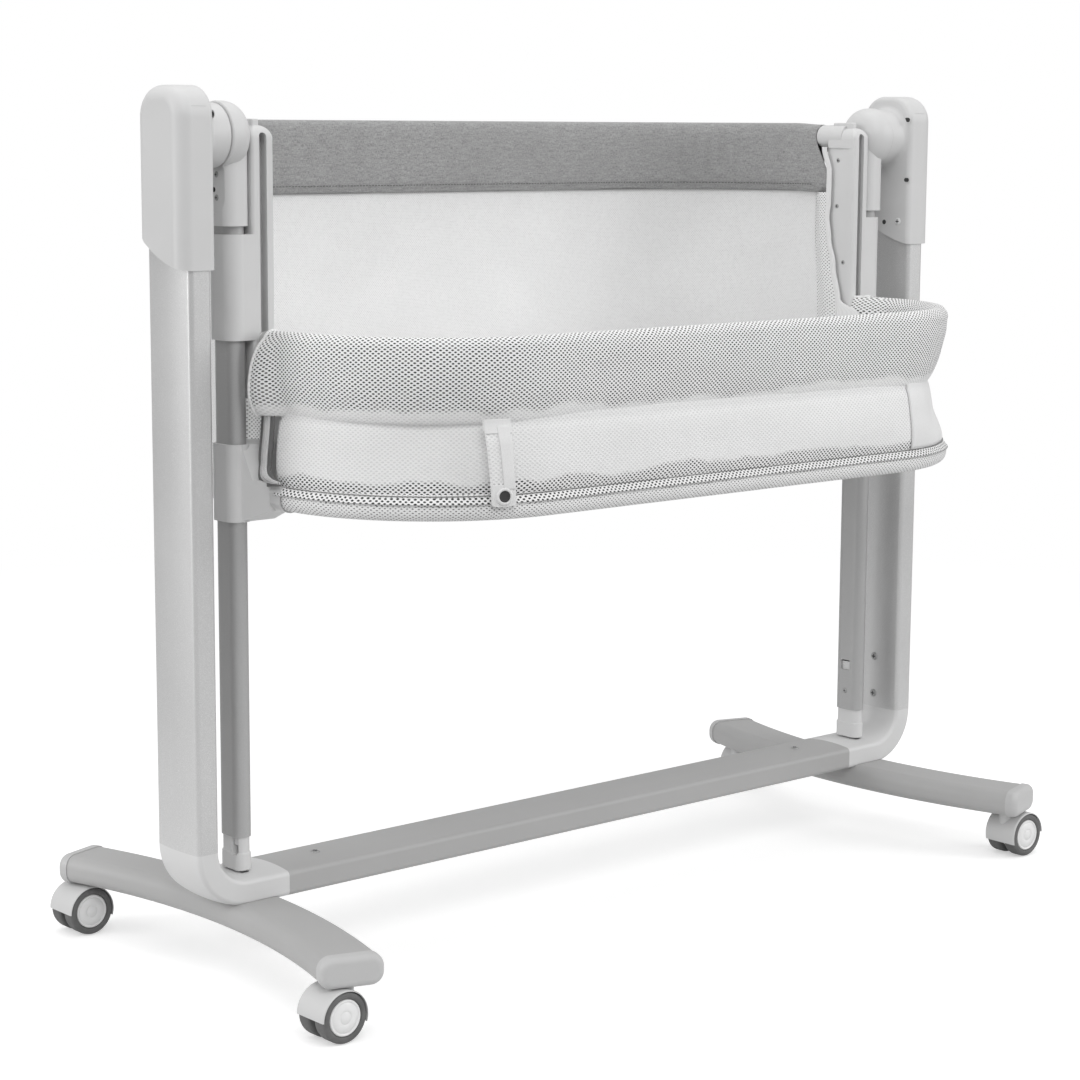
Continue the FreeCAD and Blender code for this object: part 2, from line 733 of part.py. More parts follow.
shell_outer = new_body("right_head_outer", 0, 0, "pivot_height")
pad(shell_outer, head_outline(shell_outer, "head_parting"), "head_outer - head_parting")
shoulders(shell_outer)
soften(shell_outer, "head_round",
       lambda edge, box: flat(box.XMin, box.XMax, val("head_outer"))
       and box.ZMax > val("head_top - head_back_drop - pivot_height") + 1)
upright_room(shell_outer)
sketch = new_sketch(shell_outer, "YZ", "head_parting")
circle(sketch, 0, 0, "axle_radius + axle_fit")
pocket(shell_outer, sketch, "head_outer - head_parting - head_outer_wall + 4", back=True)
both_sides(shell_outer, "head_outer")

shell_inner = new_body("right_head_inner", 0, 0, "pivot_height")
pad(shell_inner, head_outline(shell_inner, "head_inner"), "head_parting - head_inner")
shoulders(shell_inner)
soften(shell_inner, "head_inner_round",
       lambda edge, box: flat(box.XMin, box.XMax, val("head_inner"))
       and box.ZMax > val("head_top - head_back_drop - pivot_height") + 1)
sketch = new_sketch(shell_inner, "YZ", "head_inner + 1")
circle(sketch, 0, 0, "hub_radius")
pad(shell_inner, sketch, "hub_length + 1", back=True)
soften(shell_inner, "hub_blend",
       lambda edge, box: flat(box.XMin, box.XMax, val("head_inner"))
       and abs(box.YLength - 2 * val("hub_radius")) < 0.5)
soften(shell_inner, "hub_blend / 3", lambda edge, box: flat(box.XMin, box.XMax, val("hub_face")))
upright_room(shell_inner)
sketch = new_sketch(shell_inner, "YZ", "hub_face - 1")
circle(sketch, 0, 0, "axle_radius + axle_fit")
pocket(shell_inner, sketch, "hub_length + 1 + head_inner_wall + head_split", back=True)
sketch = new_sketch(shell_inner, "YZ", "head_inner")
for deep, up in ((-33, 20), (-33, -50), (0, -100)):
    circle(sketch, str(deep), str(up), "dimple_radius")
pocket(shell_inner, sketch, "dimple_depth", back=True)
both_sides(shell_inner, "head_inner")

axle = primitive("Cylinder", "axle_right", Radius="axle_radius",
                 Height="head_outer - head_outer_wall + 3 - (hanger_inner + axle_cover)")
axle.Placement = FreeCAD.Placement(Vector(), FreeCAD.Rotation(Vector(0, 1, 0), 90))
place(axle, "hanger_inner + axle_cover", 0, "pivot_height")
node(group("pivot_axles", [axle, mirrored("axle_left", axle)]))

# ---------------------------------------------------------------- cradle

# The hanger: a domed round head on the hub, over a housing that grips the post.
hanger = new_body("right_hanger", 0, 0, "pivot_height")
sketch = new_sketch(hanger, "YZ", "hanger_inner")
circle(sketch, 0, 0, "hanger_head")
pad(hanger, sketch, "hanger_thick")
soften(hanger, "hanger_dome", lambda edge, box: flat(box.XMin, box.XMax, val("hanger_inner")))
soften(hanger, "hub_blend / 3", lambda edge, box: flat(box.XMin, box.XMax, val("hanger_outer")))
sketch = new_sketch(hanger, "XY", "-hanger_drop")
rounded(sketch, "hanger_thick", "2 * hanger_half", "hanger_round",
        "hanger_inner + hanger_thick / 2", 0)
pad(hanger, sketch, "hanger_drop - hanger_root")
sketch = new_sketch(hanger, "XY", "-hanger_drop - 1")
stadium(sketch, "post_thick + 2 * post_fit", "post_depth + 2 * post_fit", "post_middle", 0)
pocket(hanger, sketch, "1 + hanger_drop + post_top - pivot_height + post_fit", back=True)
sketch = new_sketch(hanger, "YZ", "hanger_inner + axle_cover - axle_fit")
circle(sketch, 0, 0, "bush_radius + axle_fit")
pocket(hanger, sketch, "hanger_thick", back=True)
# shallow panel for the two fixing screws, on the outer face
sketch = new_sketch(hanger, "YZ", "hanger_outer")
rounded(sketch, "panel_width", "panel_height", "panel_width / 2 - 0.5", 0, "-panel_drop")
pocket(hanger, sketch, "panel_depth")
sketch = new_sketch(hanger, "YZ", "hanger_outer + 1")
for step in ("-", "+"):
    circle(sketch, 0, "-panel_drop %s panel_screw_step / 2" % step, "small_screw / 4 + 0.05")
pocket(hanger, sketch, "1 + panel_depth + panel_screw_grip")
both_sides(hanger, "hanger")

bush = new_body("bush_right", "hanger_inner + axle_cover", 0, "pivot_height")
sketch = new_sketch(bush, "YZ")
circle(sketch, 0, 0, "bush_radius")
circle(sketch, 0, 0, "axle_radius + axle_fit")
pad(bush, sketch, "hanger_thick - axle_cover")
node(group("pivot_bushes", [bush, mirrored("bush_left", bush)]))

post = new_body("right_post", "post_middle", 0, "post_bottom")
sketch = new_sketch(post, "XY")
stadium(sketch, "post_thick", "post_depth")
stadium(sketch, "post_thick - 2 * post_wall", "post_depth - 2 * post_wall")
pad(post, sketch, "post_top - post_bottom")
sketch = new_sketch(post, "YZ", "-post_thick / 2 - 1")
rounded(sketch, "window_width", "window_high - window_low", "1.5", 0,
        "(window_high + window_low) / 2 - post_bottom")
circle(sketch, 0, "post_screw_height - post_bottom", "small_screw / 4 + 0.05")
pocket(post, sketch, "post_wall + 1.5", back=True)
both_sides(post, "post")

# Post foot: a base block, a narrower neck with a window for the lock, a plug in the post.
post_foot = new_body("right_post_foot", "post_middle", 0, "post_foot_bottom")
sketch = new_sketch(post_foot, "XY")
rounded(sketch, "post_thick - 2 * post_foot_inset", "post_depth - 2 * post_foot_inset",
        "post_foot_corner")
pad(post_foot, sketch, "post_foot_base")
soften(post_foot, "1.5", lambda edge, box: box.ZLength < 0.01)
sketch = new_sketch(post_foot, "XY", "post_foot_base - 2")
stadium(sketch, "post_thick - 3 * post_foot_inset", "post_depth - 3 * post_foot_inset")
pad(post_foot, sketch, "post_bottom - post_foot_bottom - post_foot_base + 2")
sketch = new_sketch(post_foot, "XY", "post_bottom - post_foot_bottom - 1")
stadium(sketch, "post_thick - 2 * post_wall - 2 * post_fit",
        "post_depth - 2 * post_wall - 2 * post_fit")
pad(post_foot, sketch, "post_foot_plug")
lock_deep = "-post_depth / 2 + lock_width + 1"
sketch = new_sketch(post_foot, "XY", "-1")
rounded(sketch, "lock_thick + 2 * lock_fit", "lock_width + 2 * lock_fit", "1", 0, lock_deep)
pocket(post_foot, sketch, "lock_length + 2", back=True)
sketch = new_sketch(post_foot, "YZ", "post_thick / 2 + 1")
rounded(sketch, "lock_width + 2 * lock_fit", "lock_length - lock_window_low", "1", lock_deep,
        "(lock_length + lock_window_low) / 2")
pocket(post_foot, sketch, "post_thick / 2 + 1")
both_sides(post_foot, "post_foot")

# Swing lock: a slide in the post foot whose tab is moved down into the elbow's seat.
lock = new_body("right_swing_lock", "post_middle", lock_deep, "post_foot_bottom")
sketch = new_sketch(lock, "XY", "1")
rounded(sketch, "lock_thick", "lock_width", "0.8")
pad(lock, sketch, "lock_length - 2")
sketch = new_sketch(lock, "XY", "lock_length - 1 - lock_tab")
rounded(sketch, "lock_reach + 1", "lock_width", "0.8", "(lock_reach - 1) / 2", 0)
pad(lock, sketch, "lock_tab")
both_sides(lock, "swing_lock")


def side_screw(name, face, deep, height, toward, shank):
    """A small pan-head screw on an upright face; toward is the way its head looks."""
    body = new_body(name, face, deep, height)
    body.Placement = FreeCAD.Placement(Vector(), FreeCAD.Rotation(Vector(0, 1, 0), 90 * toward))
    outline = new_sketch(body, "XZ")
    polygon(outline, (("0", "-" + shank), ("small_screw / 4", "-" + shank),
                      ("small_screw / 4", "0"), ("small_screw / 2", "0"),
                      ("small_screw / 2 - 0.8", "small_screw_rise"), ("0", "small_screw_rise")))
    revolve(body, outline, "Z", "360")
    return body


cradle_screws = []
for name, face, deep, height, toward, shank in (
        ("post_screw", "post_middle - post_thick / 2", "0", "post_screw_height", -1, "post_wall"),
        ("panel_screw_low", "hanger_outer - panel_depth", "0",
         "pivot_height - panel_drop - panel_screw_step / 2", 1, "panel_screw_grip"),
        ("panel_screw_high", "hanger_outer - panel_depth", "0",
         "pivot_height - panel_drop + panel_screw_step / 2", 1, "panel_screw_grip")):
    screw = side_screw(name, face, deep, height, toward, shank)
    cradle_screws += [screw, mirrored(name + "_left", screw)]
node(group("cradle_screws", cradle_screws))

# ---------------------------------------------------------------- basket slides

# Side plate: a round-topped beam with a captive channel for the front rail's shoe, and a
# sleeve that rides on the post.
plate = new_body("plate_body", "rail_offset")
sketch = new_sketch(plate, "XY", "plate_bottom")
plate_depth = "(plate_front + plate_back)"
plate_mid = "((plate_back - plate_front) / 2)"
rounded(sketch, "plate_thick", plate_depth, "plate_round", 0, plate_mid)
pad(plate, sketch, "plate_top - plate_bottom")
soften(plate, "plate_thick / 2 - 0.2",
       lambda edge, box: flat(box.ZMin, box.ZMax, val("plate_top")) and box.YLength > 20)
sketch = new_sketch(plate, "XZ", "plate_front - slot_lip")
slot_mid = "(slot_top + slot_bottom) / 2"
rounded(sketch, "channel_width", "slot_top - slot_bottom", "channel_width / 2 - 0.2", 0, slot_mid)
pocket(plate, sketch, "channel_depth")
sketch = new_sketch(plate, "XZ", "plate_front + 1")
rounded(sketch, "slot_width", "slot_top - slot_bottom", "slot_width / 2 - 0.1", 0, slot_mid)
pocket(plate, sketch, "slot_lip + 1.5")
# recessed panel on the inner face, behind the slot's frame and under the rail's socket
sketch = new_sketch(plate, "YZ", "-plate_thick / 2 - 1")
polygon(sketch, (("bezel - plate_front", "plate_bottom + bezel"), ("plate_back + 1", "plate_bottom + bezel"),
                 ("plate_back + 1", "top_rail_height - socket_radius"),
                 ("bezel - plate_front", "top_rail_height - socket_radius")))
pocket(plate, sketch, "1 + bezel_rise", back=True)
# sleeve round the post, flush with the beam that it is joined to
sketch = new_sketch(plate, "XY", "sleeve_low")
stadium(sketch, "sleeve_thick", "sleeve_depth", "post_middle - rail_offset", 0)
pad(plate, sketch, "sleeve_high - sleeve_low")
sketch = new_sketch(plate, "XY", "sleeve_low")
polygon(sketch, (("plate_thick / 2 - plate_round - 1", "-plate_front"),
                 ("post_middle - rail_offset", "-plate_front"),
                 ("post_middle - rail_offset", "plate_front"),
                 ("plate_thick / 2 - plate_round - 1", "plate_front")))
pad(plate, sketch, "sleeve_high - sleeve_low")
sketch = new_sketch(plate, "XY", "sleeve_low - 1")
stadium(sketch, "post_thick + 2 * sleeve_fit", "post_depth + 2 * sleeve_fit",
        "post_middle - rail_offset", 0)
pocket(plate, sketch, "sleeve_high - sleeve_low + 2", back=True)
# socket of the top rail, and the bore that its end sits in
sketch = new_sketch(plate, "XZ", "0")
circle(sketch, 0, "top_rail_height", "socket_radius")
pad(plate, sketch, "plate_back + socket_length - plate_back", back=True)
sketch = new_sketch(plate, "XZ", "-socket_seat")
circle(sketch, 0, "top_rail_height", "tube_radius + tube_fit")
pocket(plate, sketch, "socket_length + 10")
# well of the release button
sketch = new_sketch(plate, "XY", "plate_top + 5")
rounded(sketch, "button_width + 2 * button_fit", "button_length + 2 * button_fit", "2",
        0, "button_deep")
pocket(plate, sketch, "button_well + 5")
both_sides(plate, "side_plate")

button = new_body("right_release_button", "rail_offset", "button_deep", "plate_top")
sketch = new_sketch(button, "XY", "button_travel - button_well")
rounded(sketch, "button_width", "button_length", "1.8")
pad(button, sketch, "button_well - button_travel + button_rise")
soften(button, "1.2", lambda edge, box: flat(box.ZMin, box.ZMax, val("button_rise")))
both_sides(button, "release_button")

# Lower bracket: a sleeve on the post with an arm to a ferrule at each end of the side.
bracket = new_body("bracket_body", "post_middle")
sketch = new_sketch(bracket, "XY", "bracket_low")
stadium(sketch, "sleeve_thick", "sleeve_depth")
pad(bracket, sketch, "bracket_high - bracket_low")
sketch = new_sketch(bracket, "XZ", "-ferrule_end")
circle(sketch, "rail_offset - post_middle", "bottom_height", "ferrule_radius")
pad(bracket, sketch, "2 * ferrule_end")
sketch = new_sketch(bracket, "YZ", "rail_offset - post_middle - arm_thick / 2")
arm_low = "bottom_height - ferrule_radius + 1"
arm_high = "bottom_height + ferrule_radius"
polygon(sketch, (("-ferrule_start", arm_low), ("-sleeve_depth / 2 + 4", "bracket_low"),
                 ("sleeve_depth / 2 - 4", "bracket_low"), ("ferrule_start", arm_low),
                 ("ferrule_start", arm_high), ("sleeve_depth / 2 + 8", "arm_high"),
                 ("sleeve_depth / 2", "bracket_high - 6"), ("sleeve_depth / 2 - 4", "bracket_high"),
                 ("-sleeve_depth / 2 + 4", "bracket_high"), ("-sleeve_depth / 2", "bracket_high - 6"),
                 ("-sleeve_depth / 2 - 8", "arm_high"), ("-ferrule_start", arm_high)))
pad(bracket, sketch, "arm_thick + post_middle - rail_offset - post_thick / 2")
sketch = new_sketch(bracket, "XY", "bracket_low - 1")
for way in ("-", ""):
    polygon(sketch, (("sleeve_thick", way + "(sleeve_depth / 2 - 2)"),
                     ("2", way + "(sleeve_depth / 2 - 2)"),
                     ("rail_offset - post_middle + ferrule_radius - 1", way + "ferrule_start"),
                     ("rail_offset - post_middle + ferrule_radius - 1", way + "(ferrule_end + 2)"),
                     ("sleeve_thick", way + "(ferrule_end + 2)")))
pocket(bracket, sketch, "bracket_high - bracket_low + 2", back=True)
sketch = new_sketch(bracket, "XY", "bracket_low - 1")
stadium(sketch, "post_thick + 2 * sleeve_fit", "post_depth + 2 * sleeve_fit")
pocket(bracket, sketch, "bracket_high - bracket_low + 2", back=True)
sketch = new_sketch(bracket, "XZ", "-ferrule_end - 1")
circle(sketch, "rail_offset - post_middle", "bottom_height", "tube_radius + tube_fit")
pocket(bracket, sketch, "ferrule_end - ferrule_seat + 1", back=True)
sketch = new_sketch(bracket, "XZ", "ferrule_end + 1")
circle(sketch, "rail_offset - post_middle", "bottom_height", "tube_radius + tube_fit")
pocket(bracket, sketch, "ferrule_end - ferrule_seat + 1")
both_sides(bracket, "lower_bracket")

# ---------------------------------------------------------------- tubes and rails


def u_path(body, half, start, reach, bend, up, way=1):
    """An open U in plan: two arms, two round corners and the long run between them."""
    path = new_sketch(body, "XY", up)
    a, s, far, turn = val(half), val(start) * way, val(reach) * way, val(bend)
    corner = far - turn * way
    arm_in = path.addGeometry(Part.LineSegment(Vector(a, s, 0), Vector(a, corner, 0)), False)
    run = path.addGeometry(
        Part.LineSegment(Vector(a - turn, far, 0), Vector(turn - a, far, 0)), False)
    arm_out = path.addGeometry(Part.LineSegment(Vector(-a, corner, 0), Vector(-a, s, 0)), False)
    quarters = ((0, math.pi / 2), (math.pi / 2, math.pi)) if way > 0 else (
        (-math.pi / 2, 0), (math.pi, 1.5 * math.pi))
    arcs = []
    for side, (low, high) in zip((1, -1), quarters):
        ring = Part.Circle(Vector(side * (a - turn), corner, 0), Vector(0, 0, 1), turn)
        arcs.append(path.addGeometry(Part.ArcOfCircle(ring, low, high), False))
    first, last = (1, 2) if way > 0 else (2, 1)
    path.addConstraint(Sketcher.Constraint("Tangent", arm_in, 2, arcs[0], first))
    path.addConstraint(Sketcher.Constraint("Tangent", arcs[0], last, run, 1))
    path.addConstraint(Sketcher.Constraint("Tangent", run, 2, arcs[1], first))
    path.addConstraint(Sketcher.Constraint("Tangent", arcs[1], last, arm_out, 1))
    path.addConstraint(Sketcher.Constraint("Equal", arcs[0], arcs[1]))
    path.addConstraint(Sketcher.Constraint("Vertical", arm_in))
    path.addConstraint(Sketcher.Constraint("Vertical", arm_out))
    path.addConstraint(Sketcher.Constraint("Horizontal", run))
    hold(path, "Radius", bend, arcs[0])
    hold_point(path, arm_in, 1, half, "%d * (%s)" % (way, start))
    hold_point(path, arm_out, 2, "-(%s)" % half, "%d * (%s)" % (way, start))
    hold(path, "DistanceY", "%d * (%s)" % (way, reach), -1, 1, run, 1)
    return path


def sweep(body, start, way, up, draw):
    """Sweeps the outline drawn by draw(sketch) along a rail's path."""
    path = u_path(body, "rail_offset", start, "rail_reach", "rail_bend", up, way)
    outline = new_sketch(body, "XZ", "%d * (%s)" % (-way, start))
    draw(outline)
    pipe = body.newObject("PartDesign::AdditivePipe", body.Name + "_pipe")
    pipe.Profile = outline
    pipe.Spine = (path, ["Edge%d" % (k + 1) for k in range(5)])
    body.Tip = pipe
    return pipe


def tube(label, start, way, up, radius):
    body = new_body(label)

    def section(outline):
        circle(outline, "rail_offset", up, radius)
        circle(outline, "rail_offset", up, radius + " - tube_wall")
    sweep(body, start, way, up, section)
    return node(body)


tube("bottom_frame_front", "ferrule_seat + 0.3", -1, "bottom_height", "tube_radius")
tube("bottom_frame_rear", "ferrule_seat + 0.3", 1, "bottom_height", "tube_radius")
tube("top_rail", "socket_seat + 0.3", 1, "top_rail_height", "tube_radius")
tube("front_rail", "front_rail_start", -1, "front_rail_height", "front_rail_radius")

# Shoe of the front rail: a slide in the side plate's channel, a neck through the slot and
# a plug in the rail's end.
shoe = new_body("right_rail_shoe", "rail_offset", 0, "front_rail_height")
sketch = new_sketch(shoe, "XZ", "plate_front - slot_lip - shoe_fit")
shoe_width = "channel_width - 2 * shoe_fit"
rounded(sketch, shoe_width, "shoe_drop + slot_width / 2", "channel_width / 2 - 0.6", 0,
        "(slot_width / 2 - shoe_drop) / 2")
pad(shoe, sketch, "channel_depth - 2 * shoe_fit", back=True)
sketch = new_sketch(shoe, "XZ", "plate_front - slot_lip - shoe_fit - 1")
circle(sketch, 0, 0, "slot_width / 2 - shoe_fit")
pad(shoe, sketch, "slot_lip + shoe_fit + 1 + 1")
sketch = new_sketch(shoe, "XZ", "plate_front + 0.6")
circle(sketch, 0, 0, "front_rail_radius")
pad(shoe, sketch, "front_rail_start - plate_front - 0.6")
sketch = new_sketch(shoe, "XZ", "front_rail_start - 0.5")
circle(sketch, 0, 0, "front_rail_radius - tube_wall - tube_fit")
pad(shoe, sketch, "14")
both_sides(shoe, "rail_shoe")

# ---------------------------------------------------------------- soft goods

# Floor sling: a taut sheet with sleeves round the bottom tubes and low side walls.
sling = new_body("sling_sheet")
inset = "(tube_radius + cloth_gap + cloth)"
sketch = new_sketch(sling, "XY", "bottom_height - cloth / 2")
rounded(sketch, "2 * rail_offset - 2 * " + inset, "2 * rail_reach - 2 * " + inset,
        "rail_bend - " + inset)
pad(sling, sketch, "cloth")
sketch = new_sketch(sling, "XY", "bottom_height - cloth")
for way in ("-", ""):
    polygon(sketch, ((way + "(side_cloth + cloth)", "-side_cloth_reach"),
                     (way + "rail_offset", "-side_cloth_reach"),
                     (way + "rail_offset", "side_cloth_reach"),
                     (way + "(side_cloth + cloth)", "side_cloth_reach")))
pocket(sling, sketch, "2 * cloth", back=True)
sketch = new_sketch(sling, "XY", "bottom_height - cloth / 2")
for way in ("-", ""):
    polygon(sketch, ((way + "side_cloth", "-side_cloth_reach"),
                     (way + "(side_cloth + cloth)", "-side_cloth_reach"),
                     (way + "(side_cloth + cloth)", "side_cloth_reach"),
                     (way + "side_cloth", "side_cloth_reach")))
pad(sling, sketch, "side_cloth_top - bottom_height + cloth / 2")


def sleeve(outline):
    circle(outline, "rail_offset", "bottom_height", "tube_radius + cloth_gap + cloth")
    circle(outline, "rail_offset", "bottom_height", "tube_radius + cloth_gap")


rear_sleeve = new_body("rear_sleeve")
sweep(rear_sleeve, "side_cloth_reach", 1, "bottom_height", sleeve)
front_sleeve = mirrored("front_sleeve", rear_sleeve, (0, 1, 0))
node(group("floor_sling", [sling, rear_sleeve, front_sleeve]))

board = node(new_body("mattress_board"))
board_low = "bottom_height + cloth / 2 + cloth_gap"
bed_inset = "(tube_radius + cloth_gap + cloth + mattress_gap)"
sketch = new_sketch(board, "XY", board_low)
rounded(sketch, "2 * rail_offset - 2 * " + bed_inset, "2 * rail_reach - 2 * " + bed_inset,
        "rail_bend - " + bed_inset)
pad(board, sketch, "board_thick")

# Mattress: drawn in along the middle of its edge, with a low crown on top.
mattress = node(new_body("mattress"))
mattress_low = "%s + board_thick + cloth_gap" % board_low
layers = (("0", "mattress_edge * 0.6"), ("mattress_thick * 0.18", "mattress_edge * 0.08"),
          ("mattress_thick * 0.5", "mattress_edge * 0.25"),
          ("mattress_thick * 0.82", "mattress_edge * 0.08"),
          ("mattress_thick", "mattress_edge * 0.7"),
          ("mattress_thick + mattress_crown", "mattress_edge * 6"))
outlines = []
for rise, draw_in in layers:
    outline = new_sketch(mattress, "XY", "%s + %s" % (mattress_low, rise))
    grown = "%s + %s" % (bed_inset, draw_in)
    rounded(outline, "2 * rail_offset - 2 * (%s)" % grown, "2 * rail_reach - 2 * (%s)" % grown,
            "rail_bend - (%s)" % grown)
    outlines.append(outline)
loft = mattress.newObject("PartDesign::AdditiveLoft", "mattress_loft")
loft.Profile = outlines[0]
loft.Sections = outlines[1:]
loft.Ruled = True
mattress.Tip = loft


def band(label, start, way, low, high, radius):
    """Cloth folded over a rail: a tall round-topped loop in section."""
    body = new_body(label)
    middle = "((%s) + (%s)) / 2" % (low, high)

    def section(outline):
        for inset_by in ("0", "cloth"):
            rounded(outline, "2 * (%s + cloth_gap + cloth - %s)" % (radius, inset_by),
                    "(%s) - (%s) - 2 * %s" % (high, low, inset_by),
                    "%s + cloth_gap + cloth - %s - 0.1" % (radius, inset_by),
                    "rail_offset", middle)
    sweep(body, start, way, middle, section)
    return node(body)


band("grey_band", "band_start", 1, "band_low", "band_high", "tube_radius")
band("front_band", "front_band_start", -1, "front_band_low", "front_band_high",
     "front_rail_radius")


def wall(label, start, way, low, high):
    """A hanging cloth wall: half of an upright ring that follows a rail's path."""
    body = new_body(label)
    ring = new_sketch(body, "XY", low)
    for grow in ("cloth / 2", "-cloth / 2"):
        rounded(ring, "2 * (rail_offset + %s)" % grow, "2 * (rail_reach + %s)" % grow,
                "rail_bend + " + grow)
    pad(body, ring, "(%s) - (%s)" % (high, low))
    rest = new_sketch(body, "XY", "%s - 1" % low)
    far = "%d * (rail_reach + 2 * cloth)" % -way
    near = "%d * (%s)" % (way, start)
    side = "(rail_offset + 2 * cloth)"
    polygon(rest, (("-" + side, far), (side, far), (side, near), ("-" + side, near)))
    pocket(body, rest, "(%s) - (%s) + 2" % (high, low), back=True)
    return node(body)


rear_wall = wall("rear_mesh", "band_start + 2", 1, "bottom_high + cloth_gap",
                 "band_low - cloth_gap")
sketch = new_sketch(rear_wall, "YZ")
polygon(sketch, (("band_start", "bottom_low"), ("side_cloth_reach", "bottom_low"),
                 ("side_cloth_reach", "arm_high + 8"), ("band_start", "arm_high + 8")))
pocket(rear_wall, sketch, "2 * rail_offset + 4 * cloth", middle=True)
wall("lower_front_mesh", "side_cloth_reach", -1, "bottom_high + cloth_gap",
     "front_band_low - cloth_gap")

# Strap that hangs from the front band, with its eyelet.
# Both bodies have their origin at the centre of the rail's left front bend.
strap = new_body("strap", "rail_bend - rail_offset", "rail_bend - rail_reach")
bind(strap, "Placement.Rotation.Angle", "-strap_turn")
sketch = new_sketch(strap, "YZ")
strap_back = "-(rail_bend + tube_radius + 2 * cloth_gap + cloth)"
strap_front = strap_back + " - strap_thick"
polygon(sketch, ((strap_front, "strap_low"), (strap_back, "strap_low"),
                 (strap_back, "front_band_low - strap_thick"),
                 ("-rail_bend - 3 * cloth", "front_band_low - strap_thick"),
                 ("-rail_bend - 3 * cloth", "front_band_low"), (strap_front, "front_band_low")))
pad(strap, sketch, "strap_width", middle=True)
soften(strap, "strap_width / 4",
       lambda edge, box: flat(box.ZMin, box.ZMax, val("strap_low")) and box.YLength > 1
       or box.YLength > 1 and abs(box.ZMin - val("strap_low")) < 0.01 and box.ZLength < 1)
sketch = new_sketch(strap, "XZ")
circle(sketch, 0, "eyelet_height", "eyelet_radius - 1.5")
pocket(strap, sketch, "2 * rail_bend", back=True)
eyelet = new_body("eyelet", "rail_bend - rail_offset", "rail_bend - rail_reach", "eyelet_height")
bind(eyelet, "Placement.Rotation.Angle", "-strap_turn")
sketch = new_sketch(eyelet, "XY")
polygon(sketch, (("eyelet_hole", strap_back), ("eyelet_radius - 1.6", strap_back),
                 ("eyelet_radius - 1.6", strap_front), ("eyelet_radius", strap_front),
                 ("eyelet_radius - 1", strap_front + " - 1.2"),
                 ("eyelet_hole", strap_front + " - 0.8")))
revolve(eyelet, sketch, "Y", "360")
node(group("front_strap", [strap, eyelet]))

# ---------------------------------------------------------------- casters

housing = new_body("caster_front_right_housing", "wheel_across", "-stem_reach", "wheel_radius")
sketch = new_sketch(housing, "XZ")
circle(sketch, 0, 0, "hood_outer")
pad(housing, sketch, "2 * hood_half", middle=True)
soften(housing, "2.5", lambda edge, box: box.XLength > 10)
sketch = new_sketch(housing, "XY")
circle(sketch, "-caster_trail", 0, "hood_boss")
pad(housing, sketch, "hood_top - wheel_radius")
for way, back in (("-", False), ("", True)):
    sketch = new_sketch(housing, "XZ", way + "web_half")
    circle(sketch, 0, 0, "hood_outer - hood_wall")
    pocket(housing, sketch, "hood_half", back=back)
sketch = new_sketch(housing, "XZ")
polygon(sketch, (("-2 * wheel_radius", "-hood_boss"), ("hood_boss", "-hood_boss"),
                 ("2 * hood_boss", "0"), ("2 * wheel_radius", "0"),
                 ("2 * wheel_radius", "-2 * wheel_radius"),
                 ("-2 * wheel_radius", "-2 * wheel_radius")))
pocket(housing, sketch, "3 * hood_half", middle=True)
sketch = new_sketch(housing, "XZ")
circle(sketch, 0, 0, "wheel_pin")
pocket(housing, sketch, "3 * web_half", middle=True)
sketch = new_sketch(housing, "XY", "hood_top - wheel_radius - stem_grip")
circle(sketch, "-caster_trail", 0, "stem_radius + stem_fit")
pocket(housing, sketch, "stem_grip + 1", back=True)

pin = primitive("Cylinder", "wheel_pin_front_right", Radius="wheel_pin",
                Height="2 * (wheel_inset + wheel_width) - 6.6")
pin.Placement = FreeCAD.Placement(Vector(), FreeCAD.Rotation(Vector(1, 0, 0), 90))
place(pin, "wheel_across", "-stem_reach + wheel_inset + wheel_width - 3.3", "wheel_radius")
stem = primitive("Cylinder", "stem_front_right", Radius="stem_radius",
                 Height="stem_top - hood_top + stem_grip")
place(stem, "stem_across", "-stem_reach", "hood_top - stem_grip")
pins = group("caster_front_right_pins", [pin, stem])

wheel = new_body("caster_front_right_wheel_a", "wheel_across", "-stem_reach", "wheel_radius")
sketch = new_sketch(wheel, "XY")
inner = "-wheel_inset"
outer = "-(wheel_inset + wheel_width)"
polygon(sketch, (("wheel_pin + axle_fit", inner), ("hub_disc", inner), ("wheel_radius - 2", inner),
                 ("wheel_radius", inner + " - 2.5"), ("wheel_radius", outer + " + 3"),
                 ("wheel_radius - 2.6", outer + " + 0.3"), ("hub_disc + 1.6", outer),
                 ("hub_disc + 0.6", outer + " + 1.4"), ("hub_disc - 0.6", outer + " + 1.4"),
                 ("hub_disc - 1.2", outer + " + 0.6"), ("wheel_pin * 2", outer),
                 ("0", outer), ("0", outer + " + 3"), ("wheel_pin + axle_fit", outer + " + 3")))
revolve(wheel, sketch, "Y", "360")
wheel_twin = mirrored("caster_front_right_wheel_b", wheel, (0, 1, 0))
bind(wheel_twin, "Base.y", "-stem_reach")

for piece in (housing, pins, wheel, wheel_twin):
    node(piece)
    stem_name = piece.Label.replace("caster_front_right_", "")
    back_right = node(mirrored("caster_back_right_" + stem_name, piece, (0, 1, 0)))
    node(mirrored("caster_front_left_" + stem_name, piece))
    node(mirrored("caster_back_left_" + stem_name, back_right))

# ---------------------------------------------------------------- check and write

doc.recompute()
for item in doc.Objects:
    if "Invalid" in item.State or "Error" in item.State:
        raise RuntimeError("%s did not build" % item.Label)
os.makedirs("parts", exist_ok=True)
for item in NODES:
    if item.Shape.isNull() or not item.Shape.isValid() or item.Shape.Volume <= 0:
        raise RuntimeError("%s has no valid shape" % item.Label)
for item in NODES:
    item.Shape.exportStep("parts/%s.step" % item.Label)
print("%d pieces written" % len(NODES))
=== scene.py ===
import json
import math

import bmesh
import bpy
from mathutils import Matrix, Vector, noise


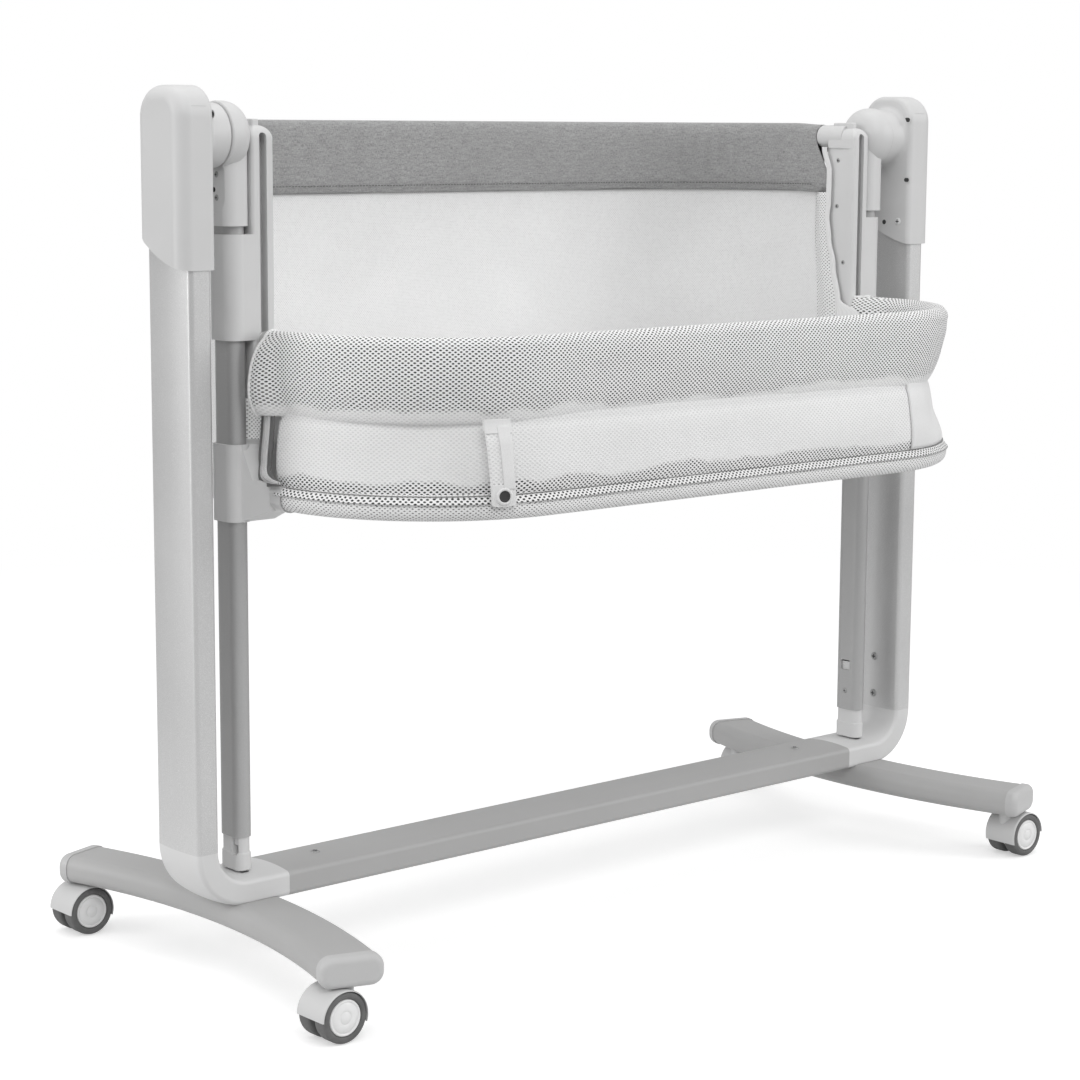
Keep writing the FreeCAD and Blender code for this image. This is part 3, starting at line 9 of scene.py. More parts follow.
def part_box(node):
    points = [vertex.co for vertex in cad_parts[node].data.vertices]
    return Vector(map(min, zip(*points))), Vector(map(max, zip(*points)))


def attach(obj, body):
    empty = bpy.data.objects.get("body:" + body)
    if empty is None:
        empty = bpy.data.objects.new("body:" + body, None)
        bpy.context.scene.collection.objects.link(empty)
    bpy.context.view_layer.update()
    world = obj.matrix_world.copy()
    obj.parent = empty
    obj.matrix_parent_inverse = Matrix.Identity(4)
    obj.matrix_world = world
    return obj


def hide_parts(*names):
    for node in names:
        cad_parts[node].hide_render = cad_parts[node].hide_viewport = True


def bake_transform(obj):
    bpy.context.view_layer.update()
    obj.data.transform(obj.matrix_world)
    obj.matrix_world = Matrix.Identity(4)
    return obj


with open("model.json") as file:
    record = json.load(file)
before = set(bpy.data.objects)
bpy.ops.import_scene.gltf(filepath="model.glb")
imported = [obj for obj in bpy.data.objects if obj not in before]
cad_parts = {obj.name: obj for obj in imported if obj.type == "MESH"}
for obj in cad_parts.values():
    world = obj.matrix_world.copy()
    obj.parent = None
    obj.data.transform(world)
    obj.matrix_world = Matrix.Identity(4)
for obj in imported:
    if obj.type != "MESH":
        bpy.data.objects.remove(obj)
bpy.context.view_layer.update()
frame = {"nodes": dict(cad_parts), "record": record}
NODES = frame["nodes"]

# Sizes shared by the soft goods, in metres.
RAIL_X, RAIL_Y, BEND = 0.4265, 0.237, 0.172
RUN = RAIL_X - BEND
TURN = BEND * math.pi / 2
TOP_Z, FRONT_Z, BOTTOM_Z = 0.833, 0.636, 0.486
SEAM_Z, HEM_Z, LOWER_TOP_Z = 0.4975, 0.4893, 0.579
BINDING_X = 0.4114  # the bound edges lie just inside the side plates
TOP_SNUG, FRONT_SNUG = 0.0126, 0.0109  # the bands' radii where they lie on their tubes


def linear(grey):
    """A grey from 0 to 255 as the photograph shows it, in linear light."""
    c = grey / 255
    return c / 12.92 if c <= 0.04045 else ((c + 0.055) / 1.055) ** 2.4


def tone(grey, warm=0.0):
    v = linear(grey)
    return (v * (1 + warm), v, v * (1 - warm), 1)


# -------------------------------- materials


class Shade:
    """A node material that is built step by step."""

    def __init__(self, name, rough=0.5, **sockets):
        self.mat = bpy.data.materials.new(name)
        self.mat.use_nodes = True
        self.tree = self.mat.node_tree
        self.bsdf = self.tree.nodes["Principled BSDF"]
        self.bsdf.inputs["Roughness"].default_value = rough
        for key, number in sockets.items():
            self.bsdf.inputs[key.replace("_", " ")].default_value = number

    def add(self, kind, **settings):
        node = self.tree.nodes.new("ShaderNode" + kind)
        for key, setting in settings.items():
            setattr(node, key, setting)
        return node

    def feed(self, socket, source):
        if isinstance(source, bpy.types.NodeSocket):
            self.tree.links.new(source, socket)
        else:
            socket.default_value = source

    def math(self, operation, a, b=0.0, clamp=False):
        node = self.add("Math", operation=operation, use_clamp=clamp)
        self.feed(node.inputs[0], a)
        self.feed(node.inputs[1], b)
        return node.outputs[0]

    def object_space(self):
        return self.add("TexCoord").outputs["Object"]

    def stretched(self, vector, factors):
        node = self.add("Mapping")
        self.feed(node.inputs["Vector"], vector)
        node.inputs["Scale"].default_value = factors
        return node.outputs[0]

    def split(self, vector):
        node = self.add("SeparateXYZ")
        self.feed(node.inputs[0], vector)
        return node.outputs

    def noise(self, vector, scale, detail=2.0, rough=0.5):
        node = self.add("TexNoise")
        self.feed(node.inputs["Vector"], vector)
        node.inputs["Scale"].default_value = scale
        node.inputs["Detail"].default_value = detail
        node.inputs["Roughness"].default_value = rough
        return node.outputs["Fac"]

    def span(self, value, low, high, out_low=0.0, out_high=1.0):
        node = self.add("MapRange", clamp=True)
        self.feed(node.inputs["Value"], value)
        for key, number in (("From Min", low), ("From Max", high),
                            ("To Min", out_low), ("To Max", out_high)):
            node.inputs[key].default_value = number
        return node.outputs[0]

    def mix(self, factor, first, second):
        node = self.add("Mix", data_type="RGBA")
        self.feed(node.inputs["Factor"], factor)
        self.feed(node.inputs[6], first)
        self.feed(node.inputs[7], second)
        return node.outputs[2]

    def bump(self, height, strength, distance, under=None):
        node = self.add("Bump")
        node.inputs["Strength"].default_value = strength
        node.inputs["Distance"].default_value = distance
        self.feed(node.inputs["Height"], height)
        if under is not None:
            self.feed(node.inputs["Normal"], under)
        return node.outputs[0]

    def finish(self, colour=None, normal=None, rough=None):
        if colour is not None:
            self.feed(self.bsdf.inputs["Base Color"], colour)
        if normal is not None:
            self.feed(self.bsdf.inputs["Normal"], normal)
        if rough is not None:
            self.feed(self.bsdf.inputs["Roughness"], rough)
        return self.mat


def moulded(name, grey, rough=0.42, grain=0.25):
    """Moulded plastic: fine spark-eroded grain, slight flow marks and softer worn patches."""
    s = Shade(name, rough, IOR=1.46)
    space = s.object_space()
    broad = s.noise(space, 9, 3)
    fine = s.noise(space, 1400, 2)
    colour = s.mix(s.span(broad, 0.35, 0.65), tone(grey - 2), tone(grey + 2))
    return s.finish(colour, s.bump(fine, grain, 0.0002),
                    s.span(broad, 0.3, 0.7, rough - 0.05, rough + 0.06))


def coated(name, grey, rough=0.45, warm=0.004, metal=0.0, fleck=0.0):
    """Powder coat or metallic paint: orange peel, and flecks where it is metallic."""
    s = Shade(name, rough, Metallic=metal)
    space = s.object_space()
    broad = s.noise(space, 6, 3)
    peel = s.noise(space, 260, 2)
    grit = s.noise(space, 2600, 1)
    colour = s.mix(s.span(broad, 0.35, 0.65), tone(grey - 2, warm), tone(grey + 2, warm))
    if fleck:
        bright = s.span(grit, 0.5, 0.78, 0, fleck)
        colour = s.mix(bright, colour, tone(min(grey + 70, 255), warm))
    under = s.bump(peel, 0.12, 0.0004)
    return s.finish(colour, s.bump(grit, 0.18, 0.00012, under),
                    s.span(broad, 0.3, 0.7, rough - 0.04, rough + 0.05))


def steel(name, grey, rough):
    s = Shade(name, rough, Metallic=0.9)
    space = s.object_space()
    lines = s.noise(s.stretched(space, (60, 60, 900)), 4, 2)
    colour = s.mix(lines, tone(grey - 14), tone(grey + 14))
    return s.finish(colour, s.bump(lines, 0.15, 0.0001),
                    s.span(lines, 0, 1, rough - 0.08, rough + 0.1))


def rubber(name, grey):
    s = Shade(name, 0.62)
    space = s.object_space()
    grime = s.noise(space, 70, 4)
    fine = s.noise(space, 1600, 2)
    return s.finish(s.mix(s.span(grime, 0.3, 0.7), tone(grey - 8), tone(grey + 10)),
                    s.bump(fine, 0.3, 0.0002))


def hole_mask(s, across, up, pitch, row, hole):
    """1 in the holes of a knitted mesh: rows of holes, every other row set half a pitch on."""
    rows = s.math("DIVIDE", up, row)
    shift = s.math("MULTIPLY", s.math("MODULO", s.math("FLOOR", rows), 2.0), 0.5)
    columns = s.math("ADD", s.math("DIVIDE", across, pitch), shift)
    du = s.math("MULTIPLY", s.math("SUBTRACT", s.math("FRACT", columns), 0.5), pitch)
    dv = s.math("MULTIPLY", s.math("SUBTRACT", s.math("FRACT", rows), 0.5), row)
    du = s.math("MULTIPLY", du, 0.8)
    dv = s.math("MULTIPLY", dv, 1.25)
    away = s.math("SQRT", s.math("ADD", s.math("MULTIPLY", du, du), s.math("MULTIPLY", dv, dv)))
    return s.span(away, hole * 0.80, hole * 1.20, 1.0, 0.0)


def spacer_mesh(name, pitch, row, hole, thread, dark, fade=None, relief=0.5):
    """White spacer mesh with staggered holes. The holes are painted the grey dark: painted shade
    for the space seen through them.
    fade is (first z, last z, grey): from the first height to the last the holes turn to that grey,
    painted as the lit lining or hem that lies behind them."""
    s = Shade(name, 0.78, Sheen_Weight=0.25, Sheen_Roughness=0.5)
    uv = s.add("UVMap", uv_map="cloth").outputs[0]
    u, v, _ = s.split(uv)
    space = s.object_space()
    wobble = s.math("MULTIPLY", s.math("SUBTRACT", s.noise(space, 30, 2), 0.5), pitch * 0.9)
    u = s.math("ADD", s.math("ADD", u, 10.0), wobble)
    v = s.math("ADD", s.math("ADD", v, 10.0), s.math("MULTIPLY", wobble, 0.6))
    mask = hole_mask(s, u, v, pitch, row, hole)
    fibre = s.noise(space, 1500, 3)
    broad = s.noise(space, 14, 3)
    yarn = s.mix(s.span(fibre, 0.3, 0.7), tone(thread - 9), tone(thread + 5))
    yarn = s.mix(s.span(broad, 0.35, 0.65, 0.0, 0.35), yarn, tone(thread - 12))
    # Painted shade: the holes' dark grey stands for the shade in the space behind the mesh, varied
    # a little at random.
    inside = s.mix(s.span(s.noise(space, 240, 2), 0.35, 0.65), tone(dark - 14), tone(dark + 16))
    # Painted light: from the fade heights on, the holes take the grey of the lit lining behind
    # instead.
    if fade:
        height = s.split(space)[2]
        height = s.math("ADD", height, s.math("MULTIPLY", s.math("SUBTRACT", broad, 0.5), 0.03))
        inside = s.mix(s.span(height, fade[0], fade[1]), inside, tone(fade[2]))
    colour = s.mix(mask, yarn, inside)
    raised = s.math("SUBTRACT", 1.0, mask)
    under = s.bump(raised, relief, 0.0008)
    return s.finish(colour, s.bump(fibre, 0.25, 0.0003, under))


def melange(name, grey):
    """Grey melange plain weave: pale and dark yarns in both directions."""
    s = Shade(name, 0.85, Sheen_Weight=0.3, Sheen_Roughness=0.45)
    uv = s.add("UVMap", uv_map="cloth").outputs[0]
    space = s.object_space()
    warp = s.noise(s.stretched(uv, (1500, 260, 1)), 1, 2, 0.7)
    weft = s.noise(s.stretched(uv, (230, 1500, 1)), 1, 2, 0.7)
    slub = s.noise(s.stretched(uv, (60, 420, 1)), 1, 3)
    blend = s.math("ADD", s.math("MULTIPLY", s.math("ADD", warp, weft), 0.4),
                   s.math("MULTIPLY", slub, 0.2))
    colour = s.mix(s.span(blend, 0.36, 0.64), tone(grey - 36), tone(grey + 34))
    broad = s.noise(space, 12, 3)
    colour = s.mix(s.span(broad, 0.4, 0.7, 0, 0.25), colour, tone(grey - 14))
    return s.finish(colour, s.bump(s.math("ADD", warp, weft), 0.45, 0.0005))


def cotton(name, grey, scale=900):
    """Knitted or woven white cloth."""
    s = Shade(name, 0.85, Sheen_Weight=0.3, Sheen_Roughness=0.5)
    space = s.object_space()
    knit = s.noise(space, scale, 2)
    broad = s.noise(space, 16, 3)
    colour = s.mix(s.span(broad, 0.35, 0.65), tone(grey - 5), tone(grey + 3))
    colour = s.mix(s.span(knit, 0.4, 0.7, 0, 0.3), colour, tone(grey - 20))
    return s.finish(colour, s.bump(knit, 0.4, 0.0004))


def webbing(name, grey):
    """Ribbed tape: fine ribs across its width, from the cloth coordinates."""
    s = Shade(name, 0.8, Sheen_Weight=0.2)
    uv = s.add("UVMap", uv_map="cloth").outputs[0]
    u, v, _ = s.split(uv)
    ribs = s.math("ABSOLUTE", s.math("SINE", s.math("MULTIPLY", v, 3400.0)))
    cross = s.math("ABSOLUTE", s.math("SINE", s.math("MULTIPLY", u, 2100.0)))
    height = s.math("ADD", ribs, s.math("MULTIPLY", cross, 0.5))
    # The colour darkens into the grooves between the ribs: painted shade.
    colour = s.mix(s.span(height, 0.2, 1.4), tone(grey - 16), tone(grey + 6))
    return s.finish(colour, s.bump(height, 0.35, 0.0004))


PLASTIC = moulded("light_plastic", 217)
WHITE = moulded("white_plastic", 232, 0.3, 0.12)
NYLON = moulded("bush_nylon", 222, 0.5)
BOARD = moulded("board_plastic", 220, 0.55)
GREY = coated("grey_metal", 174)
POST = coated("post_metal", 176, 0.48, 0.0, 0.35, 0.2)
CAP = moulded("cap_plastic", 190)
HOOD = moulded("hood_plastic", 205)
SATIN = coated("satin_metal", 200, 0.42, 0.0, 0.6, 0.6)
BARE = steel("bare_steel", 170, 0.3)
# Painted shade: a dark grey put in screw recesses, slot mouths and the eyelet's hole, where there
# is only shade.
RECESS_SHADE_PAINT = moulded("recess_dark", 60, 0.7)
TYRE = rubber("tyre_grey", 96)
# The fifth number is the painted shade grey in the holes; fade's grey is the painted grey of the
# lit lining behind.
COARSE = spacer_mesh("coarse_mesh", 0.0054, 0.0021, 0.00100, 250, 40, (0.5800, 0.5750, 222))
LOWER = spacer_mesh("lower_mesh", 0.0054, 0.0021, 0.00104, 248, 24, (0.5075, 0.5120, 228))
SLEEVE = spacer_mesh("sleeve_mesh", 0.0050, 0.0020, 0.00074, 244, 120)
FINE = spacer_mesh("fine_mesh", 0.0029, 0.0016, 0.00048, 239, 214, None, 0.25)
MELANGE = melange("grey_melange", 154)
COTTON = cotton("white_cotton", 236)
BINDING = webbing("white_binding", 236)
TAPE = webbing("grey_tape", 118)
THREAD = cotton("thread", 205, 2400)
# Painted shadow: a mid grey for the thin cords that draw the shadow lines in the seams' creases.
CREASE_SHADOW_PAINT = cotton("crease", 128, 2400)

SLOT_SHADES = {
    "grey_metal": GREY, "satin_metal": SATIN, "light_plastic": PLASTIC,
    "white_plastic": WHITE, "bare_steel": BARE, "bush_nylon": NYLON,
    "tyre_grey": TYRE, "board_plastic": BOARD,
}
for part in frame["record"]["subparts"]:
    shade = SLOT_SHADES.get(part["material_slot"])
    if shade:
        for holder in NODES[part["node"]].material_slots:
            holder.material = shade
for name, node in NODES.items():
    shade = {"left_post": POST, "right_post": POST, "foot_caps": CAP}.get(name)
    if name.startswith("caster") and name.endswith("housing"):
        shade = HOOD
    if shade:
        for holder in node.material_slots:
            holder.material = shade

# -------------------------------- mesh helpers


def shaded(obj, *materials, smooth=True):
    for material in materials:
        obj.data.materials.append(material)
    if smooth:
        obj.data.polygons.foreach_set("use_smooth", [True] * len(obj.data.polygons))
    obj.data.update()
    return obj


def finish_piece(obj, body, hides=()):
    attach(obj, body)
    if hides:
        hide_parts(*hides)
    return obj


def from_rows(name, rows, uvs=None, closed=False):
    """A surface through rows of points; closed joins each row's last point to its first."""
    mesh = bpy.data.meshes.new(name)
    width = len(rows[0])
    points = [tuple(p) for row in rows for p in row]
    faces = []
    steps = width if closed else width - 1
    for i in range(len(rows) - 1):
        for j in range(steps):
            k = (j + 1) % width
            faces.append((i * width + j, i * width + k, (i + 1) * width + k, (i + 1) * width + j))
    mesh.from_pydata(points, [], faces)
    if uvs:
        layer = mesh.uv_layers.new(name="cloth")
        flat = []
        for i in range(len(rows) - 1):
            for j in range(steps):
                for a, b in ((i, j), (i, j + 1), (i + 1, j + 1), (i + 1, j)):
                    flat.extend(uvs(a, b))
        layer.data.foreach_set("uv", flat)
    obj = bpy.data.objects.new(name, mesh)
    bpy.context.collection.objects.link(obj)
    return obj


def thicken(obj, thickness, offset=0.0):
    """Gives a cloth surface its thickness, applied to the mesh."""
    solid = obj.modifiers.new("thick", "SOLIDIFY")
    solid.thickness = thickness
    solid.offset = offset
    return bake(obj)


def bake(obj):
    """Applies the object's modifiers to its mesh."""
    graph = bpy.context.evaluated_depsgraph_get()
    mesh = bpy.data.meshes.new_from_object(obj.evaluated_get(graph), depsgraph=graph)
    old = obj.data
    obj.modifiers.clear()
    obj.data = mesh
    bpy.data.meshes.remove(old)
    return obj


def lathe(name, profile, centre, axis, steps):
    """A turned piece; profile is (radius, along the axis)."""
    turn = Vector((0, 0, 1)).rotation_difference(Vector(axis)).to_matrix()
    rows = []
    for i in range(steps + 1):
        a = 2 * math.pi * i / steps
        rows.append([Vector(centre) + turn @ Vector((r * math.cos(a), r * math.sin(a), h))
                     for r, h in profile])
    obj = from_rows(name, rows)
    tidy(obj)
    return obj


def tidy(obj, distance=1e-5):
    """Welds doubled points and turns all faces outwards."""
    work = bmesh.new()
    work.from_mesh(obj.data)
    bmesh.ops.remove_doubles(work, verts=work.verts, dist=distance)
    bmesh.ops.recalc_face_normals(work, faces=work.faces)
    work.to_mesh(obj.data)
    work.free()


def close_ends(obj):
    """Fills the open ends of a piece made from rows."""
    work = bmesh.new()
    work.from_mesh(obj.data)
    bmesh.ops.holes_fill(work, edges=[e for e in work.edges if e.is_boundary], sides=0)
    work.to_mesh(obj.data)
    work.free()


def smooth_step(t, a, b):
    t = min(1.0, max(0.0, (t - a) / (b - a)))
    return t * t * (3 - 2 * t)


def rail_point(s, way, out):
    """A point and the outward direction at length s from the middle of a rail's path."""
    sign = 1 if s >= 0 else -1
    s = abs(s)
    if s <= RUN:
        x, y, nx, ny = s, RAIL_Y, 0.0, 1.0
    elif s <= RUN + TURN:
        a = (s - RUN) / BEND
        nx, ny = math.sin(a), math.cos(a)
        x, y = RUN + BEND * nx, RAIL_Y - BEND + BEND * ny
    else:
        x, y, nx, ny = RAIL_X, RAIL_Y - BEND - (s - RUN - TURN), 1.0, 0.0
    return (Vector((sign * (x + out * nx), way * (y + out * ny), 0)),
            Vector((sign * nx, way * ny, 0)))


def rail_length(start):
    """Half the length of a rail's path whose arms end at |y| = start."""
    return RUN + TURN + (RAIL_Y - BEND) - start


def wander(x, y, size, seed=0.0):
    """Smooth unevenness, from -size to size."""
    return size * noise.noise(Vector((x, y, seed)))


def wall(name, way, start, low, high, out, columns, rows, bulge, uneven, seed):
    """A cloth wall along a rail's path."""
    half = rail_length(start)
    table = []
    for i in range(columns + 1):
        s = -half + 2 * half * i / columns
        line = []
        for j in range(rows + 1):
            t = j / rows
            push = out + bulge * math.sin(math.pi * t)
            push += wander(s * 5, t * 1.4, uneven, seed) * math.sin(math.pi * t) ** 0.5
            point, _ = rail_point(s, way, push)
            line.append((point.x, point.y, low + (high - low) * t))
        table.append(line)
    return from_rows(name, table,
                     lambda i, j: (-half + 2 * half * i / columns, (high - low) * j / rows))


def sock(name, way, start, section, columns=240, around=40):
    """A cloth tube along a rail's path; section(t, s) gives (out, z) for t from 0 to 1."""
    half = rail_length(start)
    table, lengths = [], [0.0]
    middle = [section(j / around, 0.0) for j in range(around + 1)]
    for j in range(around):
        lengths.append(lengths[-1] + math.dist(middle[j], middle[j + 1]))
    for i in range(columns + 1):
        s = -half + 2 * half * i / columns
        line = []
        for j in range(around):
            out, z = section(j / around, s)
            point, _ = rail_point(s, way, out)
            line.append((point.x, point.y, z))
        table.append(line)
    return from_rows(name, table,
                     lambda i, j: (-half + 2 * half * i / columns, lengths[j]), closed=True)


def superloop(t, out_low, out_high, z_low, z_high, power):
    """A rounded loop in section, from t = 0 at its inner side."""
    a = 2 * math.pi * t
    c, s = math.cos(a), math.sin(a)
    cx = math.copysign(abs(c) ** (2 / power), c)
    cz = math.copysign(abs(s) ** (2 / power), s)
    return ((out_low + out_high) / 2 - cx * (out_high - out_low) / 2,
            (z_low + z_high) / 2 + cz * (z_high - z_low) / 2)


# -------------------------------- grey top band

BAND_LOW, BAND_HIGH = 0.769, 0.8475
GREY_HALF = rail_length(0.040)


def grey_section(t, s):
    pucker = math.exp(-((s - 0.40) / 0.06) ** 2)
    out, z = superloop(t, -0.0125, 0.0125, BAND_LOW, BAND_HIGH, 3.6)
    down = (BAND_HIGH - z) / (BAND_HIGH - BAND_LOW)
    ripple = 0.0022 * pucker * math.sin(s * 330) * math.sin(math.pi * min(1, down * 1.1))
    slack = wander(s * 9, z * 22, 0.0011, 3.0) + 0.0012 * math.sin(math.pi * down)
    side = 1 if out > 0 else -1
    near = smooth_step(abs(s), GREY_HALF - 0.045, GREY_HALF)
    out += (-side * 0.003 * down + side * (ripple + slack)) * (1 - near)
    if out > 0:
        out *= 1 - 0.86 * near * smooth_step(down, 0.32, 0.5)
    tight = near * (1 - smooth_step(down, 0.20, 0.34))
    snug = TOP_SNUG / max(TOP_SNUG, math.hypot(out, z - TOP_Z))
    snug = 1 - tight * (1 - snug)
    return out * snug, TOP_Z + (z - TOP_Z) * snug


def band_end(z):
    """How far the band's free edge runs on past its end on the rail, by height."""
    down = (BAND_HIGH - z) / (BAND_HIGH - BAND_LOW)
    return 0.0206 * smooth_step(down, 0.17, 0.80) + 0.004 * math.exp(-(down / 0.06) ** 2)


grey_band = sock("grey_band_cloth", 1, 0.040, grey_section, 320, 44)
for vertex in grey_band.data.vertices:
    if abs(vertex.co.x) < RAIL_X - 0.006 and vertex.co.y < 0.09:
        vertex.co.y -= smooth_step(-vertex.co.y, -0.085, -0.040) * band_end(vertex.co.z)
thicken(grey_band, 0.0012, -1)
shaded(grey_band, MELANGE)
finish_piece(grey_band, "basket", ["grey_band"])


def stitch_row(name, way, start, z_of, out_of, body, spacing=0.0042, length=0.0028, size=0.00045,
               shade=THREAD):
    """A row of separate stitches along a rail's path, as one mesh."""
    half = rail_length(start)
    work = bmesh.new()
    count = int(2 * half / spacing)
    for k in range(count):
        s = -half + (k + 0.5) * spacing
        z = z_of(s)
        a, normal = rail_point(s - length / 2, way, out_of(s - length / 2, z))
        b, _ = rail_point(s + length / 2, way, out_of(s + length / 2, z))
        a.z = b.z = z
        along = (b - a).normalized()
        up = Vector((0, 0, 1))
        ring = []
        for point, lift in ((a, -0.4), (a.lerp(b, 0.5), 1.0), (b, -0.4)):
            ring.append([work.verts.new(point + normal * size * (lift + w) + up * size * h)
                         for w, h in ((0, -1), (0.6, -0.7), (0.9, 0), (0.6, 0.7), (0, 1))])
        for one, other in zip(ring, ring[1:]):
            for j in range(4):
                work.faces.new((one[j], one[j + 1], other[j + 1], other[j]))
    mesh = bpy.data.meshes.new(name)
    work.to_mesh(mesh)
    work.free()
    obj = bpy.data.objects.new(name, mesh)
    bpy.context.collection.objects.link(obj)
    shaded(obj, shade)
    finish_piece(obj, body)
    return obj


hem_z = BAND_LOW + 0.008
stitch_row("band_stitches_inner", 1, 0.042, lambda s: hem_z,
           lambda s, z: grey_section(0.98, s)[0] - 0.0004, "basket", shade=TAPE)

# -------------------------------- mesh walls

rear_wall = wall("rear_mesh_cloth", 1, 0.034, 0.4985, 0.774, 0.0, 260, 30, -0.003, 0.0022, 1.0)
thicken(rear_wall, 0.0015)
shaded(rear_wall, FINE)
finish_piece(rear_wall, "basket", ["rear_mesh"])


EDGE = ((0.500, 0.0100), (0.560, 0.0040), (0.628, -0.0041), (0.642, -0.0028), (0.684, 0.0062),
        (0.714, 0.0140), (0.740, 0.0176), (0.755, 0.0157), (0.792, 0.0152), (0.820, 0.0237))


def edge_at(z):
    """The y of the rear wall's free edge at a height, wavy as the cloth hangs."""
    for (z0, y0), (z1, y1) in zip(EDGE, EDGE[1:]):
        if z <= z1:
            return y0 + (y1 - y0) * smooth_step(z, z0, z1)
    return EDGE[-1][1]


def bound_edge(name, side):
    """The wavy white binding on the free edge of the rear wall, folded over flat.  It widens
    to a gore below the drop side's rail."""
    rows = []
    for i in range(97):
        z = 0.504 + 0.317 * i / 96
        wide = 0.0042 + 0.0150 * smooth_step(-z, -0.643, -0.627)
        ring = []
        for j in range(12):
            a = 2 * math.pi * j / 12
            y = edge_at(z) - (wide - 0.0042) + wide * math.sin(a)
            ring.append((side * (BINDING_X + 0.0011 * math.cos(a)), y, z))
        rows.append(ring)
    edge = from_rows(name, rows, lambda i, j: (0.002 * j, 0.317 * i / 96), closed=True)
    shaded(edge, BINDING)
    return finish_piece(edge, "basket")


def edge_strip(name, side):
    """The coarse mesh strip between the rear wall and its binding."""
    rows = []
    for i in range(61):
        z = 0.505 + 0.263 * i / 60
        inner = 0.047
        rows.append([(side * (BINDING_X + 0.0004 + 0.0120 * smooth_step(k / 8, 0.35, 1.0)),
                      edge_at(z) + (inner - edge_at(z)) * k / 8, z) for k in range(9)])
    strip = from_rows(name, rows, lambda i, j: (0.0045 * j, 0.263 * i / 60))
    thicken(strip, 0.001)
    shaded(strip, SLEEVE)
    return finish_piece(strip, "basket")


for side, word in ((-1, "left"), (1, "right")):
    bound_edge(word + "_wall_binding", side)
    edge_strip(word + "_wall_edge", side)


def lower_push(s, z):
    """How far the lower front wall stands out from the rail's line.  It bellies over the seam,
    is drawn in at the corners and lies on the sleeve below the seam."""
    if z < SEAM_Z:
        return 0.0142 - 0.0062 * (z - HEM_Z) / (SEAM_Z - HEM_Z)
    t = (z - SEAM_Z) / (LOWER_TOP_Z - SEAM_Z)
    swell = 0.0052 * math.sin(math.pi * min(1, t * 1.25)) ** 0.6 if t < 0.8 else 0.0
    corner = math.exp(-((abs(s) - RUN - TURN / 2) / 0.11) ** 2)
    drawn = 0.0125 * corner * math.sin(math.pi * min(1.0, t * 0.86 + 0.14)) ** 0.7
    if s > 0:
        drawn = drawn * 0.5 + 0.0150 * corner * smooth_step(t, 0.0, 0.5)
    folds = wander(s * 6, t * 1.5, 0.0030, 2.0) + wander(s * 22, t * 2, 0.0011, 8.0)
    return 0.0080 - 0.0035 * t + swell - drawn + folds * math.sin(math.pi * t)


def lower_wall():
    start, columns, rows = 0.052, 300, 30
    half = rail_length(start)
    heights = [HEM_Z + (SEAM_Z - HEM_Z) * j / 4 for j in range(5)]
    heights += [SEAM_Z + (LOWER_TOP_Z - SEAM_Z) * j / (rows - 4) for j in range(1, rows - 3)]
    table = []
    for i in range(columns + 1):
        s = -half + 2 * half * i / columns
        line = []
        for z in heights:
            point, _ = rail_point(s, -1, lower_push(s, z))
            line.append((point.x, point.y, z))
        table.append(line)
    return from_rows("lower_front_cloth", table,
                     lambda i, j: (-half + 2 * half * i / columns, heights[j] - HEM_Z))


front_wall = lower_wall()
thicken(front_wall, 0.0015)
shaded(front_wall, LOWER)
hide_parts("lower_front_mesh")
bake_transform(front_wall)


def corner_flap():
    """The plain flap over the lower wall's end, round the right-hand corner."""
    first, last = RUN + 0.012, rail_length(0.054)
    rows = []
    for i in range(61):
        s = first + (last - first) * i / 60
        line = []
        for j in range(21):
            z = 0.4985 + 0.0765 * j / 20
            lap = 0.0022 + 0.0016 * math.sin(math.pi * j / 20) * smooth_step(s, first, first + 0.03)
            point, _ = rail_point(s, -1, lower_push(s, z) + lap)
            line.append((point.x, point.y, z))
        rows.append(line)
    return from_rows("right_corner_flap", rows,
                     lambda i, j: ((last - first) * i / 60, 0.0765 * j / 20))


flap = corner_flap()
thicken(flap, 0.0014)
shaded(flap, COTTON)
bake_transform(flap)

# -------------------------------- front band

F_LOW, F_HIGH = 0.5655, 0.6475
FRONT_HALF = rail_length(0.036)


def front_section(t, s):
    """The band folds over the rail, bellies outwards below it and narrows to its hem."""
    out, z = superloop(t, -0.0095, 0.0105, F_LOW, F_HIGH, 3.0)
    down = (F_HIGH - z) / (F_HIGH - F_LOW)
    belly = math.sin(math.pi * min(1.0, down)) ** 0.8
    side = 1 if out > 0 else -1
    out = out * (1 - 0.45 * down ** 2)
    out += side * 0.0016 * belly + wander(s * 7, z * 16, 0.0022, 7.0) * belly
    out += wander(s * 24, z * 40, 0.0009, 4.0) * belly + 0.002 * belly
    if s < 0:
        ramp = smooth_step(-s, FRONT_HALF - 0.030, FRONT_HALF)
        out += 0.019 * ramp * math.sin(math.pi * min(1.0, down * 0.62)) ** 0.8
        z -= 0.0045 * ramp * (1 - down)
    else:
        out -= 0.0165 * math.exp(-((s - RUN - TURN * 0.6) / 0.11) ** 2) * down ** 1.3
        if side < 0:
            gather = smooth_step(s, FRONT_HALF - 0.050, FRONT_HALF)
            out -= (0.0048 + 0.0016 * math.sin(z * 420)) * gather * math.sin(math.pi * down) ** 0.5
    snug = max(1.0, FRONT_SNUG / max(1e-6, math.hypot(out, z - FRONT_Z)))
    return out * snug, FRONT_Z + (z - FRONT_Z) * snug


def drawn_over(x, y):
    """The band's inner layer at its right-hand end runs on over the side plate."""
    if x < 0 or x > RAIL_X - 0.004:
        return y
    return y + 0.019 * smooth_step(y, -0.085, -0.036)


front_band = sock("front_band_cloth", -1, 0.036, front_section, 360, 48)
for vertex in front_band.data.vertices:
    if vertex.co.y > -0.09:
        vertex.co.y = drawn_over(vertex.co.x, vertex.co.y)
thicken(front_band, 0.0015, -1)
shaded(front_band, COARSE)
finish_piece(front_band, "drop_side", ["front_band"])


